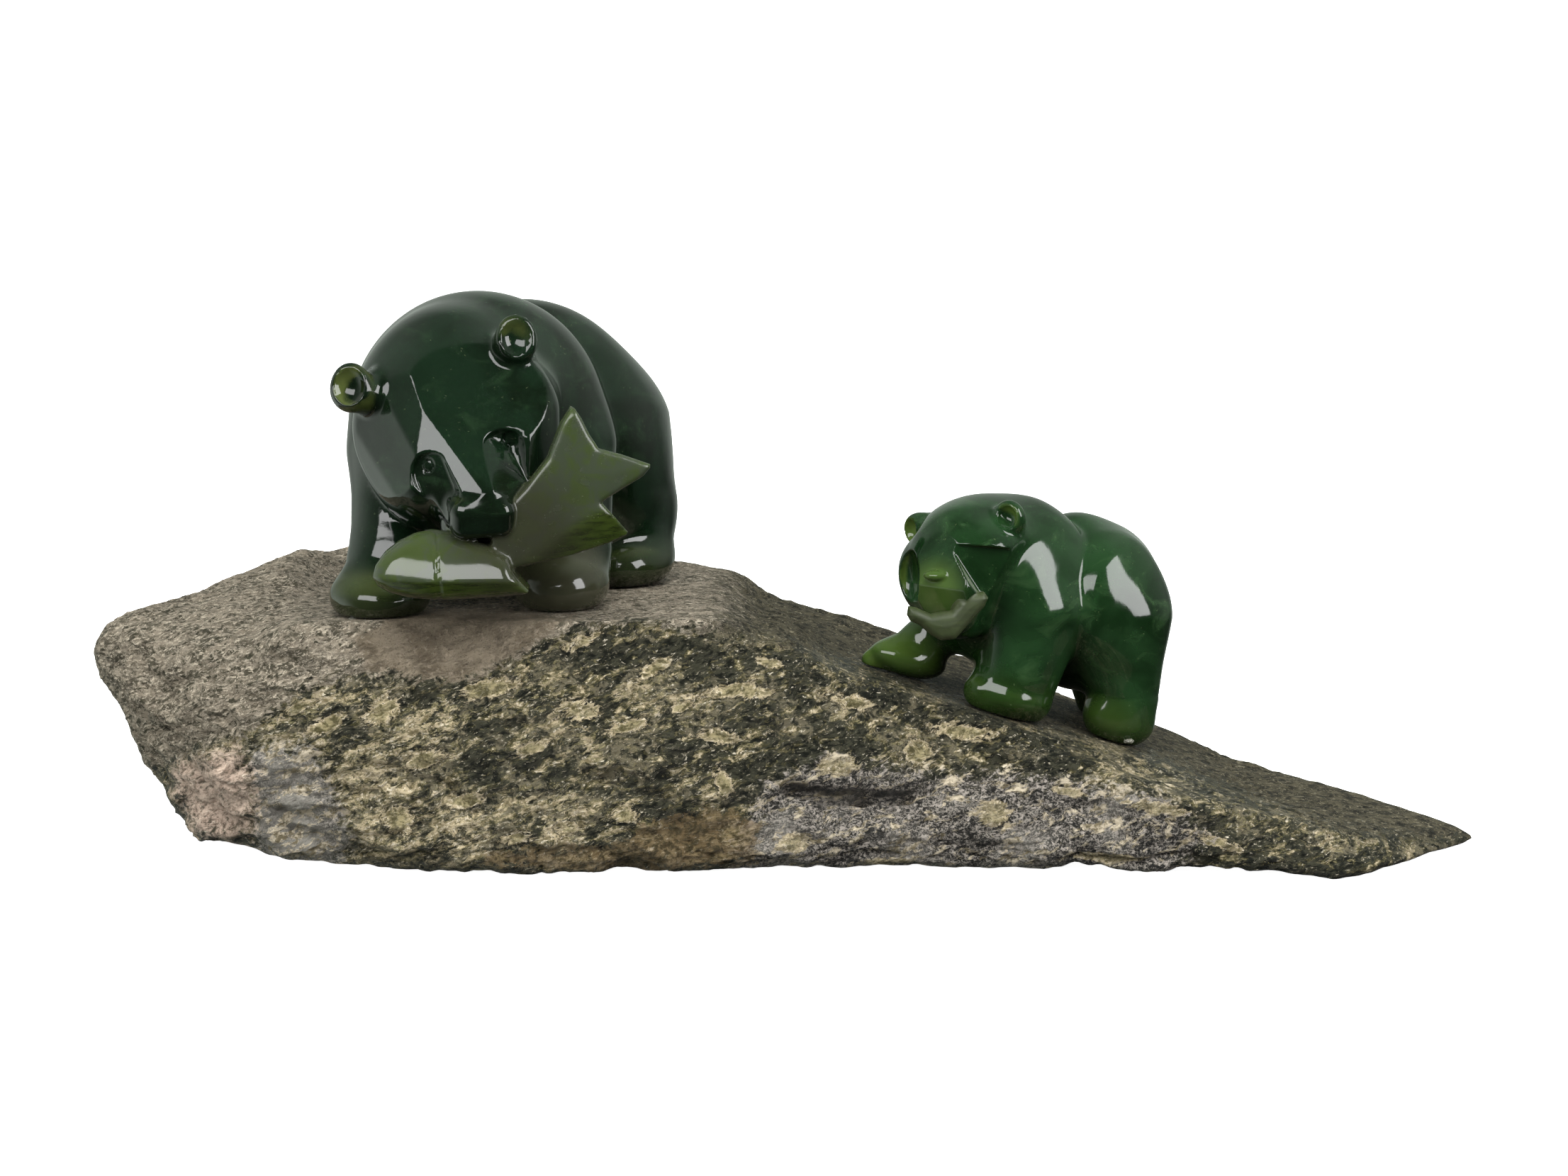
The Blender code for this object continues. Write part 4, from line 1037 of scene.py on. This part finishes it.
# ------------------------------------------------------------------ slab stone
def slab_stone():
    material, bench = new_material("serpentine slab with weathered rind")
    kept, mix, step, noise, coats = bench.kept, bench.mix, bench.step, bench.noise, bench.coats
    at = bench.millimetres()
    drift = bench.node("ShaderNodeTexNoise", None, {"Vector": at / 4.0, "Scale": 1.0, "Detail": 3.0}, "Color")
    at = at + 2.6 * (drift - (0.5, 0.5, 0.5))

    def slanted(degrees, shift):
        return bench.node("ShaderNodeVectorRotate", {"rotation_type": "Y_AXIS"},
                          {"Vector": at, "Angle": math.radians(degrees)}) + (shift,) * 3

    bed = slanted(20, 0)                       # the beds rise to the right
    blotch, fine = noise(at, 9, 6, 0.62), noise(at, 1.4, 6, 0.70)
    flake = noise(bed, (5.4, 4.4, 1.8), 8, 0.72)
    chip = noise(bed + (17, 17, 17), (2.4, 2.0, 0.9), 7, 0.72)
    splinter = noise(bed + (33, 33, 33), (1.2, 1.0, 0.45), 5, 0.70)
    crumb = noise(at + (5, 5, 5), 0.42, 3, 0.7)
    ragged = 1.6 * (flake - 0.5) + 1.4 * (fine - 0.5)
    pale = kept("pale") + 4.5 * (noise(at + (40, 40, 40), 13, 3, 0.5) - 0.5)
    placed = kept("fleck") + 2.6 * (flake - 0.5) + 2.0 * (chip - 0.5)
    plate = step(placed, 0.04, 0.10)

    # dark broken face: a green-black ground, grey-green bruises, and tan flecks of three sizes, ragged
    olive = mix(step(fine, 0.43, 0.56), (0.075, 0.068, 0.026), (0.27, 0.235, 0.115))
    tan = coats(mix(step(fine, 0.40, 0.56), (0.20, 0.165, 0.085), (0.52, 0.435, 0.280)),
                (step(splinter, 0.55, 0.59), (0.68, 0.60, 0.45)),
                (step(crumb, 0.59, 0.64) * 0.9, (0.025, 0.024, 0.014)))
    face = coats(mix(step(chip, 0.42, 0.58), (0.004, 0.005, 0.003), (0.050, 0.049, 0.031)),
                 (step(blotch + 0.10 * pale, 0.50, 0.56) * step(fine, 0.44, 0.54) * 0.9,
                  (0.150, 0.132, 0.083)),
                 (step(splinter + 0.02 * pale, 0.58, 0.61) * 0.9, (0.24, 0.215, 0.150)),
                 (step(flake + 0.045 * pale, 0.530, 0.545) * 0.7, olive),
                 (step(flake + 0.060 * pale, 0.582, 0.592), tan),
                 (step(chip + 0.03 * pale, 0.596, 0.608) * step(blotch + 0.2 * pale, 0.42, 0.50), tan),
                 (step(splinter, 0.632, 0.645) * step(fine, 0.42, 0.50), (0.66, 0.60, 0.48)),
                 (step(placed, -0.10, -0.02) - step(placed, 0.02, 0.10), (0.016, 0.016, 0.010)),
                 (plate, mix(step(placed, 0.28, 0.50) * 0.8, tan, olive)))

    # grey stone peppered with white, with cream flakes
    dusk = mix(step(crumb, 0.52, 0.62), (0.010, 0.010, 0.009), (0.16, 0.145, 0.125))
    bruise = mix(step(blotch, 0.42, 0.60), (0.19, 0.18, 0.155), (0.31, 0.295, 0.255))
    cream = mix(step(fine, 0.42, 0.54), (0.21, 0.175, 0.105), (0.62, 0.54, 0.40))
    pepper = coats(dusk,
                   (step(chip + 0.05 * pale, 0.45, 0.50),
                    mix(step(crumb, 0.46, 0.56), (0.025, 0.024, 0.021), (0.32, 0.29, 0.25))),
                   (step(fine + 0.02 * pale, 0.56, 0.60) * 0.9, (0.40, 0.36, 0.315)),
                   (pale * 0.5, bruise),
                   (step(flake + 0.02 * pale, 0.548, 0.560), cream))
    rust = mix(step(fine, 0.40, 0.60), (0.050, 0.036, 0.015), (0.180, 0.125, 0.060))
    rose = coats(mix(step(fine, 0.38, 0.58), (0.31, 0.230, 0.175), (0.64, 0.500, 0.395)),
                 (step(chip, 0.56, 0.60) * 0.85, (0.13, 0.11, 0.08)),
                 (step(splinter, 0.60, 0.64), (0.70, 0.60, 0.48)))
    front = coats(face,
                  (step(kept("grey") + 1.6 * ragged, -0.10, 0.15), pepper),
                  (plate * step(kept("grey"), -0.2, 0.2) * 0.85,
                   mix(step(placed, 0.3, 0.5) * 0.6, tan, olive)),
                  (step(kept("rust") + ragged, 0.0, 0.15) * 0.7, rust),
                  (step(kept("pink") + 1.8 * ragged, -0.35, 0.45) * 0.9, rose),
                  # painted shade: the cracks are darkened almost to black
                  (step(kept("crack_shade") + 0.6 * ragged, 0.45, 0.75) * 0.85, (0.007, 0.007, 0.006)))

    # weathered top: brown rind on the left, dark olive streaks down the slope on the right
    streak = noise(slanted(4, 60), (5.5, 5.0, 1.7), 8, 0.72)
    rind = coats(mix(step(streak, 0.42, 0.56), (0.070, 0.062, 0.042), (0.235, 0.200, 0.148)),
                 (step(fine, 0.50, 0.58) * 0.85, (0.32, 0.28, 0.215)),
                 (step(splinter, 0.54, 0.58) * 0.9, (0.50, 0.44, 0.34)),
                 (step(chip, 0.565, 0.59) * 0.9, (0.042, 0.041, 0.024)),
                 (step(crumb, 0.59, 0.64) * 0.8, (0.030, 0.027, 0.018)))
    streaks = noise(slanted(20, 90), (8.5, 3.0, 1.3), 8, 0.72)
    slope_stone = coats(mix(step(streaks, 0.41, 0.58), (0.012, 0.011, 0.007), (0.088, 0.078, 0.048)),
                        (step(splinter, 0.565, 0.61) * 0.85, (0.23, 0.205, 0.135)),
                        (step(chip, 0.60, 0.62) * 0.8, (0.30, 0.27, 0.18)),
                        (step(crumb, 0.60, 0.66) * 0.6, (0.014, 0.014, 0.010)))
    brown = coats(mix(step(blotch, 0.42, 0.58), (0.135, 0.108, 0.072), (0.225, 0.185, 0.130)),
                  (step(fine, 0.54, 0.62) * 0.6, (0.30, 0.25, 0.185)),
                  (step(crumb, 0.56, 0.66) * 0.7, (0.045, 0.036, 0.025)))
    top = coats(rind,
                (step(kept("to_the_tip") + ragged, 0.25, 0.75), slope_stone),
                (step(kept("mound") + 0.8 * ragged, -0.15, 0.20), brown))
    on_top = step(kept("top") + 1.3 * ragged, -0.15, 0.15)

    rough = 0.44 + 0.22 * on_top + 0.18 * (fine - 0.5)
    height = (1.3 * flake + 0.35 * step(flake, 0.56, 0.59) + 1.1 * chip + 0.30 * step(chip, 0.58, 0.62)
              + 0.7 * splinter + 0.3 * crumb + 0.45 * plate)
    bench.surface(Base_Color=mix(on_top, front, top), Roughness=rough, IOR=1.4, Normal=bench.bump(height))
    return material


def clear_glue():
    material, bench = new_material("clear glue")
    at = bench.millimetres()
    colour = bench.mix(bench.noise(at, 1.2), (0.34, 0.34, 0.28), (0.50, 0.49, 0.42))
    bench.surface(Base_Color=colour, Roughness=0.06 + 0.08 * bench.noise(at, 0.6), IOR=1.49,
                  Transmission_Weight=0.75, Normal=bench.bump(0.08 * bench.noise(at, 1.0)))
    return material


# ================================================================== making the pieces
BEAR_ZONES = ("fish", "matt", "fish_low", "near_mouth", "lit", "brown")
OLIVE_RISE = (1, 13)                        # height above the sole over which the paws' olive fades


def close_to(points, at, full, gone):
    """1 as far as one distance from a place, fading to 0 at another."""
    return 1 - ease(np.linalg.norm(points - np.asarray(at), axis=1), full, gone)


def mother_zones(points):
    return {"fish": 1 - ease(salmon(points), 0.2, 0.7), "matt": 1 - ease(salmon_tail(points), 0.3, 1.2),
            "fish_low": salmon_low(points), "near_mouth": close_to(points, (-53, -37, 65), 5, 20),
            # painted reflection of the brown stone beneath, on the left front paw
            "brown": 0.85 * close_to(points, (-47, -20, 50), 9, 18)}


# The cub's muzzle gets a painted glow: the colour of light shining through thin stone, laid round the nose.
def cub_zones(points):
    fish = 1 - ease(cub_fish(points), 0.2, 0.6)
    return {"fish": fish, "matt": 2.5 * fish, "fish_low": 0.6 * fish,
            "lit": 0.6 * close_to(points, (30, -30, 52), 3, 9)}


def make_bear(name, field, block, spots):
    low, high, step = block
    piece = make_mesh(name, *skin(sample(field, low, high, step), low, step))
    move_corners(piece, settle(field, corners_of(piece)))
    for group in spots:
        finer_near(piece, field, group)
    return piece


def finish_bear(piece, material, zones, sole):
    points = corners_of(piece)
    keep_values(piece, "stone_behind", measure_thickness(piece))
    shares = zones(points)
    for zone in BEAR_ZONES:
        keep_values(piece, zone, shares.get(zone, np.zeros(len(points))))
    above_sole = points[:, 2] - sole_height(sole, points[:, 0], points[:, 1])
    keep_values(piece, "olive", 1 - ease(above_sole, *OLIVE_RISE))
    piece.data.materials.append(material)
    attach(piece, "root")


# The block that each bear is ground from: two of its corners, and the grid step of the mesh.
MOTHER_BLOCK = ((-108, -52, 38), (-8, 72, 116), 0.96)
CUB_BLOCK = ((8, -42, 8), (92, 32, 76), 0.48)

# Where each mesh is made finer, as (place, reach), in one round after another.
MOTHER_SPOTS = [[((-74, -24, 92), 22), ((-63, -40, 62), 22), ((-38, -38, 72), 18), ((-84, -22, 50), 12),
                 ((-46, -20, 52), 12), ((-34, 20, 50), 9)],
                [((-86, -28, 88), 7), ((-62, -33, 90), 8), ((-66, -41, 72), 10)]]
CUB_SPOTS = [[((34, -27, 54), 16), ((46, -22, 28), 7), ((22, -10, 34), 7), ((70, -14, 21), 7)]]

mother_piece = make_bear("mother_bear_ground", mother, MOTHER_BLOCK, MOTHER_SPOTS)
finish_bear(mother_piece, nephrite("dark nephrite", deep=(0.002, 0.005, 0.002), cloudy=(0.004, 0.011, 0.005),
                                   bright=(0.009, 0.021, 0.009), olive=(0.018, 0.024, 0.008),
                                   thin=(0.055, 0.070, 0.018), speck=(0.06, 0.08, 0.04),
                                   fish=(0.034, 0.044, 0.025), fish_low=(0.032, 0.050, 0.007)),
            mother_zones, MOTHER_SOLE)
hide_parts("mother_bear")

cub_piece = make_bear("cub_bear_ground", cub, CUB_BLOCK, CUB_SPOTS)
finish_bear(cub_piece, nephrite("green nephrite", deep=(0.003, 0.013, 0.003), cloudy=(0.010, 0.032, 0.010),
                                bright=(0.024, 0.056, 0.020), olive=(0.017, 0.036, 0.005),
                                thin=(0.060, 0.100, 0.018), speck=(0.08, 0.12, 0.05),
                                fish=(0.046, 0.058, 0.024), fish_low=(0.026, 0.038, 0.011)),
            cub_zones, CUB_SOLE)
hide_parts("cub_bear")

slab_piece = make_slab()
slab_piece.data.materials.append(slab_stone())
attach(slab_piece, "root")
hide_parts("rock_base")


# ------------------------------------------------------------------ glue beads
def glue_bead(name, at, radii):
    """A squeezed-out bead, lumpy and flattened."""
    cage = bmesh.new()
    bmesh.ops.create_icosphere(cage, subdivisions=4, radius=1.0)
    points = np.array([v.co for v in cage.verts])
    points = points * (1 + 0.22 * layered(points * 4, 3.0, 70, 2)[:, None]) * np.array(radii)
    for vert, point in zip(cage.verts, points + np.array(at)):
        vert.co = point * MM + ZERO
    bead = put_cage(name, cage)
    bead.data.shade_smooth()
    bead.data.materials.append(glue)
    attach(bead, "root")


glue = clear_glue()
glue_bead("glue_under_mother_paw", (-87.9, -27.0, 45.4), (1.3, 0.9, 0.7))
glue_bead("glue_under_cub_foot", (72.0, -15.2, 17.0), (1.1, 0.7, 0.5))


# ================================================================== studio
CAMERA_DISTANCE, CAMERA_RISE = 0.700, 12
LENS, FILM = 75.95, 36.0
LOOK_AT = Vector(ZERO + np.array([0, 0, 46.5]) * MM)
STUDIO_REACH, STUDIO_SIDES = 14.0, 96
WHITE, BLACK, PAPER = (1, 1, 1, 1), (0, 0, 0, 1), (0.86, 0.86, 0.86, 1)

# Area lamps: heading, rise, distance, width, height, watts, and whether the polish mirrors them.
LAMPS = {"left_window": (-24, 38, 1.1, 1.0, 0.44, 7, True),
         "right_window": (60, 26, 1.1, 0.5, 0.8, 8, True),
         "ceiling_cloth": (10, 72, 1.4, 1.0, 1.0, 30, False),
         "right_cloth": (60, 26, 1.1, 0.8, 0.8, 4, False),
         "front_cloth": (-52, 8, 1.3, 1.0, 1.0, 14, False)}


def aim(thing, heading, rise, distance):
    """Puts a lamp or the camera on a heading, 0 in front and 90 on the right, looking at the group."""
    heading, rise = math.radians(heading), math.radians(rise)
    out = Vector((math.sin(heading) * math.cos(rise), -math.cos(heading) * math.cos(rise), math.sin(rise)))
    thing.location = LOOK_AT + out * distance
    thing.rotation_euler = out.to_track_quat("Z", "Y").to_euler()


for name, (heading, rise, distance, wide, tall, watts, mirrored) in LAMPS.items():
    lamp = bpy.data.lights.new(name, "AREA")
    lamp.shape, lamp.size, lamp.size_y, lamp.energy = "RECTANGLE", wide, tall, watts
    holder = put(name, lamp)
    holder.visible_glossy = mirrored
    aim(holder, heading, rise, distance)


def studio_sheet(name, height, paint_name, **finish):
    """The round floor, or with a height the upright wall round it, in one even paint."""
    cage = bmesh.new()
    if height:
        bmesh.ops.create_cone(cage, cap_ends=False, segments=STUDIO_SIDES, depth=height,
                              radius1=STUDIO_REACH, radius2=STUDIO_REACH)
    else:
        bmesh.ops.create_circle(cage, cap_ends=True, segments=STUDIO_SIDES, radius=STUDIO_REACH)
    sheet = put_cage(name, cage)
    paint, bench = new_material(paint_name)
    bench.surface(Emission_Color=WHITE, **finish)
    sheet.data.materials.append(paint)
    sheet.visible_glossy = sheet.visible_diffuse = False
    return sheet


studio_sheet("studio_floor", 0, "white floor", Base_Color=PAPER, Roughness=0.9, Emission_Strength=0.95)
wall = studio_sheet("studio_wall", 2 * STUDIO_REACH, "white wall", Base_Color=BLACK,
                    Specular_IOR_Level=0.0, Emission_Strength=1.0)
wall.visible_transmission = wall.visible_shadow = False

ROOM_GLOW, ROOM_TINT = 0.04, (0.90, 1.0, 0.90, 1)
# Soft light from the room: direction, where it starts and is full as a cosine, strength.
GLOWS = [((0, 1, 0), 0.70, 1.0, 0.40), ((-0.10, 0.50, 0.86), 0.64, 0.98, 0.13),
         ((-0.90, 0.20, 0.30), 0.50, 0.98, 0.24), ((-0.92, 0.30, -0.20), 0.60, 0.98, 0.35),
         ((-0.80, 0.10, -0.60), 0.60, 1.0, 0.60), ((0.75, 0.35, 0.55), 0.58, 0.98, 0.30)]

world = bpy.data.worlds.new("studio_light")
bpy.context.scene.world = world
world.use_nodes = True
bench = Bench(world.node_tree)
towards = bench.node("ShaderNodeTexCoord", out="Generated")
glow = ROOM_GLOW
for direction, low, high, strength in GLOWS:
    facing_it = bench.node("ShaderNodeVectorMath", {"operation": "DOT_PRODUCT"},
                           {0: towards, 1: direction}, "Value")
    glow = glow + strength * bench.step(facing_it, low, high)
sky = bench.node("ShaderNodeBackground", None, {"Color": ROOM_TINT, "Strength": glow})
bench.node("ShaderNodeOutputWorld", None, {"Surface": sky})

bpy.context.scene.view_settings.view_transform = "Standard"

camera = bpy.data.cameras.new("camera")
camera.lens, camera.sensor_width = LENS, FILM
camera_holder = put("camera", camera)
aim(camera_holder, 0, CAMERA_RISE, CAMERA_DISTANCE)
bpy.context.scene.camera = camera_holder
